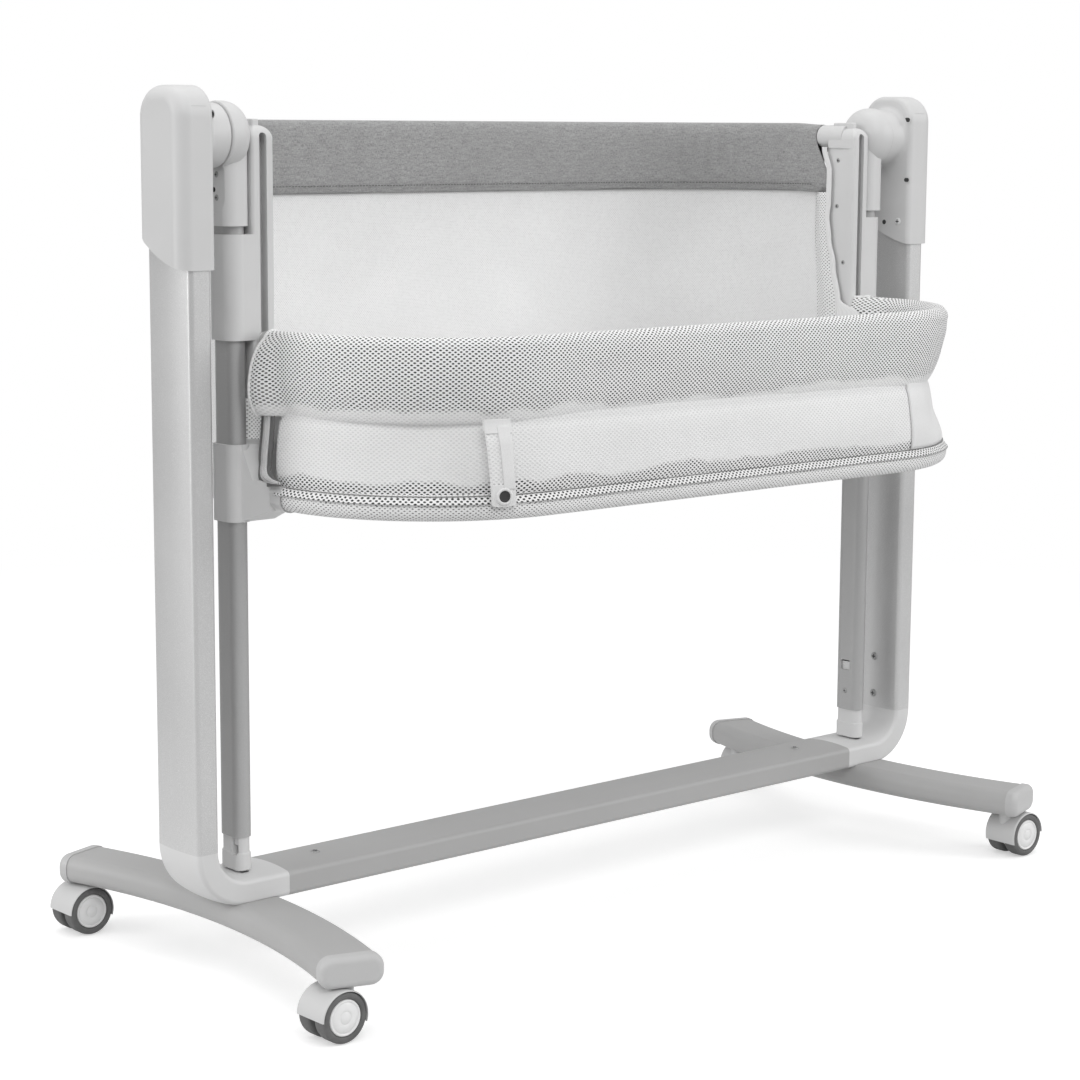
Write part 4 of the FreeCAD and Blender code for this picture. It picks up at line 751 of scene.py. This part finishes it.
def cord_along(name, points, radius, body, shade, around=8):
    """A fine cord or rolled edge through points."""
    rows = []
    for i, point in enumerate(points):
        ahead = points[min(i + 1, len(points) - 1)] - points[max(i - 1, 0)]
        side = ahead.cross(Vector((0.31, 0.17, 0.93))).normalized()
        lift = side.cross(ahead).normalized()
        rows.append([point + side * radius * math.cos(a) + lift * radius * math.sin(a)
                     for a in (2 * math.pi * k / around for k in range(around))])
    cord = from_rows(name, rows, lambda i, j: (0.001 * j, 0.001 * i), closed=True)
    shaded(cord, shade)
    return finish_piece(cord, body)


for side, word in ((-1, "left"), (1, "right")):
    loop = []
    for k in range(61):
        out, z = front_section(k / 60, side * FRONT_HALF)
        point, _ = rail_point(side * (FRONT_HALF + 0.0006), -1, out)
        loop.append(Vector((point.x, drawn_over(point.x, point.y), z)))
    cord_along("front_band_edge_" + word, loop, 0.0017, "drop_side", BINDING)

# -------------------------------- zip and end flap


def strip_along(name, path, low, high, x_of, shade, taper, lift=0.0):
    """A tape beside a path in the YZ plane; low and high are its edges' offsets from the path,
    which shrink by taper towards the path's end."""
    rows = []
    for i, (y, z) in enumerate(path):
        ahead = path[min(i + 1, len(path) - 1)]
        behind = path[max(i - 1, 0)]
        ty, tz = ahead[0] - behind[0], ahead[1] - behind[1]
        size = math.hypot(ty, tz)
        size /= 1 - taper * smooth_step(i / (len(path) - 1), 0.6, 1.0)
        ny, nz = -tz / size, ty / size
        rows.append([(-1 * (x_of(z + nz * w) + lift), y + ny * w, z + nz * w)
                     for w in (low + (high - low) * k / 5 for k in range(6))])
    tape = from_rows(name, rows, lambda i, j: (0.002 * j, 0.0025 * i))
    thicken(tape, 0.0012)
    shaded(tape, shade)
    return finish_piece(tape, "basket")


def smooth_path(points, steps=12):
    """Points on a smooth curve through the given ones."""
    path = []
    for i in range(len(points) - 1):
        p0, p1 = points[max(i - 1, 0)], points[i]
        p2, p3 = points[i + 1], points[min(i + 2, len(points) - 1)]
        for k in range(steps):
            t = k / steps
            path.append(tuple(0.5 * (2 * b + (c - a) * t + (2 * a - 5 * b + 4 * c - d) * t * t
                                     + (3 * b - a - 3 * c + d) * t ** 3)
                              for a, b, c, d in zip(p0, p1, p2, p3)))
    return path + [tuple(points[-1])]


def zip_out(z):
    """The zip hangs straight and turns forwards just above the bracket's ferrule."""
    return 0.4372 + 0.0036 * (1 - smooth_step(z, 0.504, 0.520))


ZIP = smooth_path([(-0.0412, 0.5740), (-0.0376, 0.5466), (-0.0342, 0.5240), (-0.0346, 0.5135),
                   (-0.0396, 0.5060), (-0.0500, 0.5028), (-0.0651, 0.5020)])
strip_along("zip_tape_outer", ZIP, 0.0040, 0.0100, zip_out, TAPE, 0.7)
strip_along("zip_tape_inner", ZIP, -0.0112, -0.0045, zip_out, TAPE, 0.8)
strip_along("zip_cover", ZIP, -0.0050, 0.0046, zip_out, BINDING, 0.75, 0.0010)
coil = [Vector((-zip_out(z) - 0.0020, y, z)) for y, z in ZIP]
cord_along("zip_coil", coil, 0.0013, "basket", THREAD, 10)

# -------------------------------- bottom sleeves and sling


def sleeve_section(t, s):
    out, z = superloop(t, -0.0128, 0.0132, 0.4732, 0.4988, 2.3)
    return out + wander(s * 8, z * 30, 0.0006, 9.0), z


for way, word in ((-1, "front"), (1, "rear")):
    sleeve = sock(word + "_sleeve_cloth", way, 0.064, sleeve_section, 260, 28)
    thicken(sleeve, 0.0012, -1)
    shaded(sleeve, SLEEVE)
    finish_piece(sleeve, "basket")
    if word == "rear":
        stitch_row("rear_seam_stitches", way, 0.070, lambda s: SEAM_Z - 0.0035,
                   lambda s, z: 0.0105, "basket", 0.004, 0.0026)
    # Thin mid-grey cords at the seam and the hem: painted shadow where the wall bellies out over
    # them.
    for height, deep, step in ((SEAM_Z + 0.0002, 0.0090, "upper"),
                               (HEM_Z + 0.0006, 0.0143, "lower")):
        crease = sock(word + "_seam_crease_" + step, way, 0.066,
                      lambda t, s: (deep + 0.0004 * math.cos(2 * math.pi * t),
                                    height + 0.0005 * math.sin(2 * math.pi * t)), 220, 8)
        shaded(crease, CREASE_SHADOW_PAINT)
        finish_piece(crease, "basket")


def sling_cloth():
    """The sheet under the mattress board, with a slight sag."""
    inset = 0.0128
    half, reach, bend = RAIL_X - inset, RAIL_Y - inset, BEND - inset
    rows = []
    steps = 60
    for i in range(steps + 1):
        y = -reach + 2 * reach * i / steps
        over = max(0.0, abs(y) - (reach - bend))
        wide = half - bend + math.sqrt(max(bend * bend - over * over, 0.0))
        if abs(y) < 0.066:
            wide = min(wide, 0.410)
        line = []
        for j in range(81):
            x = wide * (-1 + 2 * j / 80)
            sag = 0.0018 * (1 - (x / half) ** 2) * (1 - (y / reach) ** 2)
            line.append((x, y, BOTTOM_Z - sag))
        rows.append(line)
    return from_rows("sling_sheet_cloth", rows,
                     lambda i, j: (half * (-1 + 2 * j / 80), -reach + 2 * reach * i / steps))


sling = sling_cloth()
thicken(sling, 0.0015)
shaded(sling, SLEEVE)
finish_piece(sling, "basket", ["floor_sling"])

for side, word in ((-1, "left"), (1, "right")):
    rows = []
    for i in range(41):
        y = -0.066 + 0.132 * i / 40
        tuck = 0.0135 * smooth_step(abs(y), 0.046, 0.066)
        rows.append([(side * (0.4095 + tuck * smooth_step(abs(y), 0.05, 0.066)
                              + wander(y * 20, z_step * 0.4, 0.0007, 4)), y,
                      0.487 + 0.105 * z_step / 14) for z_step in range(15)])
    panel = from_rows(word + "_side_cloth", rows,
                      lambda i, j: (0.132 * i / 40, 0.105 * j / 14))
    thicken(panel, 0.0014)
    shaded(panel, LOWER)
    finish_piece(panel, "basket")

# -------------------------------- mattress


def rounded_outline(half, reach, bend, count=160):
    """Evenly spread points round a racetrack."""
    length = 4 * (half - bend) + 4 * (reach - bend) + 2 * math.pi * bend
    points = []
    for k in range(count):
        d = length * k / count
        legs = ((2 * (half - bend), (-(half - bend), -reach), (1, 0)),
                (math.pi / 2 * bend, (half - bend, -(reach - bend)), -90),
                (2 * (reach - bend), (half, -(reach - bend)), (0, 1)),
                (math.pi / 2 * bend, (half - bend, reach - bend), 0),
                (2 * (half - bend), (half - bend, reach), (-1, 0)),
                (math.pi / 2 * bend, (-(half - bend), reach - bend), 90),
                (2 * (reach - bend), (-half, reach - bend), (0, -1)),
                (math.pi / 2 * bend, (-(half - bend), -(reach - bend)), 180))
        for size, anchor, heading in legs:
            if d <= size:
                break
            d -= size
        if isinstance(heading, tuple):
            points.append((anchor[0] + heading[0] * d, anchor[1] + heading[1] * d))
        else:
            a = math.radians(heading) + d / bend
            points.append((anchor[0] + bend * math.cos(a), anchor[1] + bend * math.sin(a)))
    return points


def racetrack_loft(name, layers, count=160):
    """Stacked racetracks (inset, z) closed at both ends."""
    rows = []
    for inset, z in layers:
        track = rounded_outline(0.406 - inset, 0.2165 - inset, 0.151 - min(inset, 0.14), count)
        rows.append([(x, y, z) for x, y in track])
    obj = from_rows(name, rows, closed=True)
    work = bmesh.new()
    work.from_mesh(obj.data)
    edges = [e for e in work.edges if e.is_boundary]
    bmesh.ops.holes_fill(work, edges=edges, sides=0)
    bmesh.ops.triangulate(work, faces=[f for f in work.faces if len(f.verts) > 4])
    bmesh.ops.recalc_face_normals(work, faces=work.faces)
    work.to_mesh(obj.data)
    work.free()
    return obj


def puffed(obj, voxel, cap, frames=20, pressure=4.0):
    """Swells a pad as filled cloth, holding every point within cap of where it began."""
    remesh = obj.modifiers.new("grid", "REMESH")
    remesh.mode = "VOXEL"
    remesh.voxel_size = voxel
    bake(obj)
    start = [v.co.copy() for v in obj.data.vertices]
    cloth = obj.modifiers.new("cloth", "CLOTH")
    cloth.settings.use_pressure = True
    cloth.settings.uniform_pressure_force = pressure
    cloth.settings.quality = 4
    cloth.settings.tension_stiffness = 20
    cloth.settings.bending_stiffness = 2
    cloth.settings.effector_weights.gravity = 0
    cloth.point_cache.frame_end = frames
    for step in range(1, frames + 1):
        bpy.context.scene.frame_set(step)
    bake(obj)
    bpy.context.scene.frame_set(1)
    for vertex, home in zip(obj.data.vertices, start):
        move = vertex.co - home
        if move.length > cap:
            vertex.co = home + move * (cap / move.length)
    return obj


mattress = racetrack_loft("mattress_pad", (
    (0.012, 0.4985), (0.004, 0.501), (0.0035, 0.508), (0.008, 0.520), (0.0035, 0.533),
    (0.006, 0.538), (0.016, 0.5405), (0.060, 0.5425), (0.120, 0.5435)))
puffed(mattress, 0.007, 0.004)
for vertex in mattress.data.vertices:
    vertex.co.z = max(vertex.co.z, 0.4938)
    if vertex.co.z > 0.53:
        vertex.co.z += wander(vertex.co.x * 9, vertex.co.y * 9, 0.0012, 6)
shaded(mattress, COTTON)
finish_piece(mattress, "basket", ["mattress"])
for height, word in ((0.5365, "upper"), (0.5035, "lower")):
    cord_rows = []
    for x, y in rounded_outline(0.4035, 0.214, 0.149, 200) + [(-0.2545, -0.214)]:
        centre = Vector((x, y, height))
        out = Vector((x - max(-0.2545, min(0.2545, x)), y - max(-0.065, min(0.065, y)), 0))
        out = out.normalized() if out.length > 1e-6 else Vector((0, -1, 0))
        ring = (2 * math.pi * k / 8 for k in range(8))
        cord_rows.append([centre + out * 0.0022 * math.cos(a)
                          + Vector((0, 0, 0.0022 * math.sin(a))) for a in ring])
    piping = from_rows("mattress_piping_" + word, cord_rows, closed=True)
    shaded(piping, COTTON)
    finish_piece(piping, "basket")

# -------------------------------- casters


def wheel_pieces(node):
    """A tread over a white hub, in place of the plain wheel."""
    low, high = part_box(node)
    cx, cz = (low[0] + high[0]) / 2, (low[2] + high[2]) / 2
    side = -1 if node.endswith("a") == ("front" in node) else 1
    near, far = (low[1], high[1]) if side > 0 else (high[1], low[1])
    body = "wheel_" + node.replace("caster_", "").replace("_wheel", "")
    base, axis = (cx, near, cz), (0, side, 0)
    tread = [(0.0178, 0.0), (0.0226, 0.0), (0.0243, 0.0011), (0.0250, 0.0032), (0.0250, 0.0134),
             (0.0246, 0.0152), (0.0233, 0.0164), (0.0212, 0.0169), (0.0192, 0.0168),
             (0.0184, 0.0161), (0.0181, 0.0148), (0.0178, 0.0140)]
    tyre = lathe(node + "_tyre", tread, base, axis, 72)
    shaded(tyre, TYRE)
    finish_piece(tyre, body, [node])
    face = [(0.0031, 0.0), (0.0178, 0.0), (0.0178, 0.0150), (0.0174, 0.0160), (0.0166, 0.0164),
            (0.0157, 0.0163), (0.0152, 0.0156), (0.0146, 0.0156), (0.0140, 0.0163),
            (0.0090, 0.0167), (0.0068, 0.0168), (0.0064, 0.0164), (0.0060, 0.0164),
            (0.0056, 0.0168), (0.0, 0.0170)]
    hub = lathe(node + "_hub", face, base, axis, 72)
    shaded(hub, WHITE)
    finish_piece(hub, body)


for name in sorted(NODES):
    if "_wheel_" in name:
        wheel_pieces(name)

# -------------------------------- strap, eyelet and screws


def strap_pieces():
    """The hanging strap: a mesh tape with a plain fold laid over it and a grommet at its end."""
    turn = math.radians(18)
    centre = Vector((-RUN, -(RAIL_Y - BEND), 0))
    out = Vector((-math.sin(turn), -math.cos(turn), 0))
    along = Vector((math.cos(turn), -math.sin(turn), 0))

    def spot(t, w, lift=0.0):
        z = 0.4875 + 0.083 * t
        away = BEND + 0.0168 + 0.0012 * math.sin(t * 5) - 0.0052 * smooth_step(t, 0.70, 1.0)
        sway = 0.0052 * (1 - t)
        return (centre + out * (away + lift - 0.8 * w * w) + along * (w + sway - 0.0045)
                + Vector((0, 0, z)))

    def layer(name, low, high, lift, thick, shade, first=0.0, last=1.0):
        rows = []
        for i in range(33):
            t = first + (last - first) * i / 32
            line = []
            for j in range(13):
                w = low(t) + (high(t) - low(t)) * j / 12
                point = spot(t, w, lift)
                point.z += 0.0030 * (abs(w) / 0.014) ** 3 * (1 - smooth_step(t, 0.0, 0.14))
                line.append(point)
            rows.append(line)
        piece = from_rows(name, rows, lambda i, j: (0.0276 * j / 12, 0.083 * i / 32))
        thicken(piece, thick, 1)
        shaded(piece, shade)
        return finish_piece(piece, "drop_side")

    wide = 0.0140
    tape = layer("tether_strap", lambda t: -wide + 0.0022 * (1 - t),
                 lambda t: wide - 0.0016 * (1 - t), 0.0, 0.0014, LOWER)
    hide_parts("front_strap")
    fold = layer("tether_fold", lambda t: -0.0012 + 0.0022 * (1 - t), lambda t: 0.0118, 0.0016,
                 0.0012, COTTON, 0.20, 0.93)
    head = layer("tether_head", lambda t: -wide, lambda t: wide, 0.0014, 0.0012, COTTON, 0.84, 1.0)
    toe = layer("tether_toe", lambda t: -0.0126, lambda t: 0.0126, 0.0014, 0.0010, COTTON,
                0.0, 0.26)
    place = spot(0.125, 0.0006, 0.0024)
    ring = [(0.0054, -0.0012), (0.0082, -0.0012), (0.0085, 0.0004), (0.0078, 0.0014),
            (0.0064, 0.0018), (0.0056, 0.0010), (0.0054, 0.0002), (0.0054, -0.0012)]
    eyelet = lathe("strap_eyelet_ring", ring, place, out, 48)
    shaded(eyelet, WHITE)
    finish_piece(eyelet, "drop_side")
    # A dark dish inside the ring: painted shade in the eyelet's hole.
    well = [(0.0056, 0.0010), (0.0052, 0.0004), (0.0030, 0.0003), (0.0, 0.0003)]
    hole = lathe("strap_eyelet_hole", well, place, out, 32)
    shaded(hole, RECESS_SHADE_PAINT)
    finish_piece(hole, "drop_side")


strap_pieces()


def screw(name, place, axis, body, radius=0.00475, rise=0.0016, shade=BARE):
    """A pan head with a cross recess, drawn as a dark cross on the head: painted shade in the
    recess.
    """
    profile = [(radius, 0.0), (radius, rise * 0.35), (radius * 0.82, rise * 0.85),
               (radius * 0.55, rise), (0.0, rise * 1.04)]
    head = lathe(name + "_head", profile, place, axis, 40)
    shaded(head, shade)
    finish_piece(head, body)
    # The recess: a dark cross on the head, painted shade.
    turn = Vector((0, 0, 1)).rotation_difference(Vector(axis)).to_matrix()
    arm, thin = radius * 0.56, radius * 0.15
    outline = [(arm, thin), (thin, thin), (thin, arm), (-thin, arm), (-thin, thin), (-arm, thin),
               (-arm, -thin), (-thin, -thin), (-thin, -arm), (thin, -arm), (thin, -thin),
               (arm, -thin)]
    rows = []
    for shrink, depth in ((1.0, rise * 1.05), (0.72, rise * 0.99)):
        rows.append([Vector(place) + turn @ Vector((x * shrink, y * shrink, depth))
                     for x, y in outline])
    cross = from_rows(name + "_cross", rows, closed=True)
    close_ends(cross)
    shaded(cross, RECESS_SHADE_PAINT, smooth=False)
    finish_piece(cross, body)
    return head


for side, word in ((-1, "left"), (1, "right")):
    first = screw(word + "_bar_screw", (side * 0.356, 0, 0.107), (0, 0, 1), "base")
    screw(word + "_upright_screw_low", (side * 0.495, 0, 0.156), (-side, 0, 0), "base")
    screw(word + "_upright_screw_high", (side * 0.495, 0, 0.202), (-side, 0, 0), "base")
    small = screw(word + "_post_screw", (side * 0.443, 0, 0.166), (-side, 0, 0), "cradle",
                  0.003, 0.001)
    for z, step in ((0.774, "low"), (0.796, "high")):
        screw(word + "_panel_screw_" + step, (side * 0.4662, 0, z), (side, 0, 0), "cradle",
              0.003, 0.0010)
    screw(word + "_head_screw", (side * 0.4930, -0.0215, 0.7335), (-side, 0, 0), "base",
          0.0044, 0.0013, WHITE)
    for y, z, step in ((0.0050, 0.8055, "high"), (0.0055, 0.7520, "middle"),
                       (-0.0060, 0.6865, "low")):
        screw(word + "_plate_screw_" + step, (side * 0.4154, y, z), (-side, 0, 0), "basket",
              0.0026, 0.0008)
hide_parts("frame_screws")
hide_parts("cradle_screws")


def pit(name, place, axis, body, length, width):
    """The mouth of a small slot or hole in a moulding, with a lip round it; the mouth is a thin
    dark sheet, painted shade for the hole's depth.
    """
    turn = Vector((0, 0, 1)).rotation_difference(Vector(axis)).to_matrix()
    rows = []
    for size, height in ((1.30, 0.00005), (1.12, 0.00035), (1.0, 0.00030), (0.86, 0.00012)):
        ring = []
        for k in range(28):
            a = 2 * math.pi * k / 28
            reach = length / 2 - width / 2
            x = math.copysign(reach, math.cos(a)) + width / 2 * size * math.cos(a)
            ring.append(Vector(place) + turn @ Vector((width / 2 * size * math.sin(a), x, height)))
        rows.append(ring)
    lip = from_rows(name + "_lip", rows, closed=True)
    tidy(lip)
    shaded(lip, PLASTIC)
    finish_piece(lip, body)
    # The mouth: a thin dark sheet just under the lip, painted shade in the slot.
    below = turn @ Vector((0, 0, -0.00006))
    mouth = from_rows(name + "_mouth", [rows[-1], [r + below for r in rows[-1]]], closed=True)
    close_ends(mouth)
    shaded(mouth, RECESS_SHADE_PAINT, smooth=False)
    finish_piece(mouth, body)


for side, word in ((-1, "left"), (1, "right")):
    for y, z, size, longer, step in ((-0.0325, 0.8528, 0.0060, 1.5, "high"),
                                     (-0.0335, 0.7826, 0.0056, 1.5, "low"),
                                     (-0.0001, 0.7321, 0.0066, 1.01, "hole")):
        pit(word + "_head_slot_" + step, (side * 0.4930, y, z), (-side, 0, 0), "base",
            size * longer, size)

# -------------------------------- floor, light, camera

floor_mesh = bpy.data.meshes.new("floor")
floor_mesh.from_pydata([(-60, -60, -0.0005), (60, -60, -0.0005), (60, 60, -0.0005),
                        (-60, 60, -0.0005)], [], [(0, 1, 2, 3)])
floor = bpy.data.objects.new("floor", floor_mesh)
bpy.context.collection.objects.link(floor)
paint = Shade("floor_paint", 0.9)
place = paint.split(paint.object_space())
reach = paint.math("SQRT", paint.math("ADD", paint.math("MULTIPLY", place[0], place[0]),
                                      paint.math("MULTIPLY", place[1], place[1])))
away = paint.span(reach, 0.7, 2.4)
glow = paint.add("Emission")
glow.inputs["Color"].default_value = (1, 1, 1, 1)
path = paint.add("LightPath")
seen = paint.math("MAXIMUM", path.outputs["Is Camera Ray"],
                  paint.math("MULTIPLY", path.outputs["Is Glossy Ray"], 0.5))
paint.feed(glow.inputs["Strength"], paint.math("MULTIPLY", seen, paint.span(away, 0, 1, 0.45, 1.0)))
both = paint.add("AddShader")
paint.feed(paint.bsdf.inputs["Base Color"],
           paint.mix(away, (0.75, 0.75, 0.75, 1), (0.0, 0.0, 0.0, 1)))
paint.feed(paint.bsdf.inputs["Specular IOR Level"], 0.0)
paint.tree.links.new(paint.bsdf.outputs[0], both.inputs[0])
paint.tree.links.new(glow.outputs[0], both.inputs[1])
paint.tree.links.new(both.outputs[0], paint.tree.nodes["Material Output"].inputs["Surface"])
floor.data.materials.append(paint.mat)

world = bpy.data.worlds.new("studio")
bpy.context.scene.world = world
world.use_nodes = True
sky = world.node_tree
back = sky.nodes["Background"]
rays = sky.nodes.new("ShaderNodeLightPath")
either = sky.nodes.new("ShaderNodeMath")
either.operation = "MAXIMUM"
sky.links.new(rays.outputs["Is Camera Ray"], either.inputs[0])
sky.links.new(rays.outputs["Is Transmission Ray"], either.inputs[1])
level = sky.nodes.new("ShaderNodeMapRange")
sky.links.new(either.outputs[0], level.inputs["Value"])
level.inputs["To Min"].default_value = 0.62
level.inputs["To Max"].default_value = 1.0
sky.links.new(level.outputs[0], back.inputs["Strength"])
back.inputs["Color"].default_value = (1, 1, 1, 1)


def lamp(name, place, aim, width, height, power):
    data = bpy.data.lights.new(name, "AREA")
    data.shape = "RECTANGLE"
    data.size, data.size_y, data.energy = width, height, power
    obj = bpy.data.objects.new(name, data)
    obj.location = place
    obj.rotation_euler = (Vector(aim) - Vector(place)).to_track_quat("-Z", "Y").to_euler()
    bpy.context.collection.objects.link(obj)


lamp("key_light", (-1.6, -2.6, 3.2), (0, 0, 0.5), 2.6, 2.0, 46)
lamp("left_light", (-2.9, 1.0, 1.15), (-0.4, 0, 0.5), 1.3, 1.9, 26)
lamp("right_light", (2.3, -2.6, 1.8), (0, 0, 0.5), 1.8, 2.0, 34)
lamp("top_light", (0, 0.4, 3.4), (0, 0, 0.4), 2.4, 2.0, 16)

camera_data = bpy.data.cameras.new("camera")
camera_data.lens = 88.17
camera_data.sensor_width = 36
camera = bpy.data.objects.new("camera", camera_data)
yaw, pitch, roll = math.radians(-41.17), math.radians(8.90), math.radians(0.31)
ahead = Vector((-math.sin(yaw) * math.cos(pitch), math.cos(yaw) * math.cos(pitch),
                -math.sin(pitch)))
right = Vector((math.cos(yaw), math.sin(yaw), 0))
above = right.cross(ahead)
turned = right * math.cos(roll) + above * math.sin(roll)
above = above * math.cos(roll) - right * math.sin(roll)
axes = Matrix((turned, above, -ahead)).transposed().to_4x4()
camera.matrix_world = Matrix.Translation(Vector((-1.9152, -2.1308, 0.8437))) @ axes
bpy.context.collection.objects.link(camera)
bpy.context.scene.camera = camera
bpy.context.scene.view_settings.view_transform = "Standard"
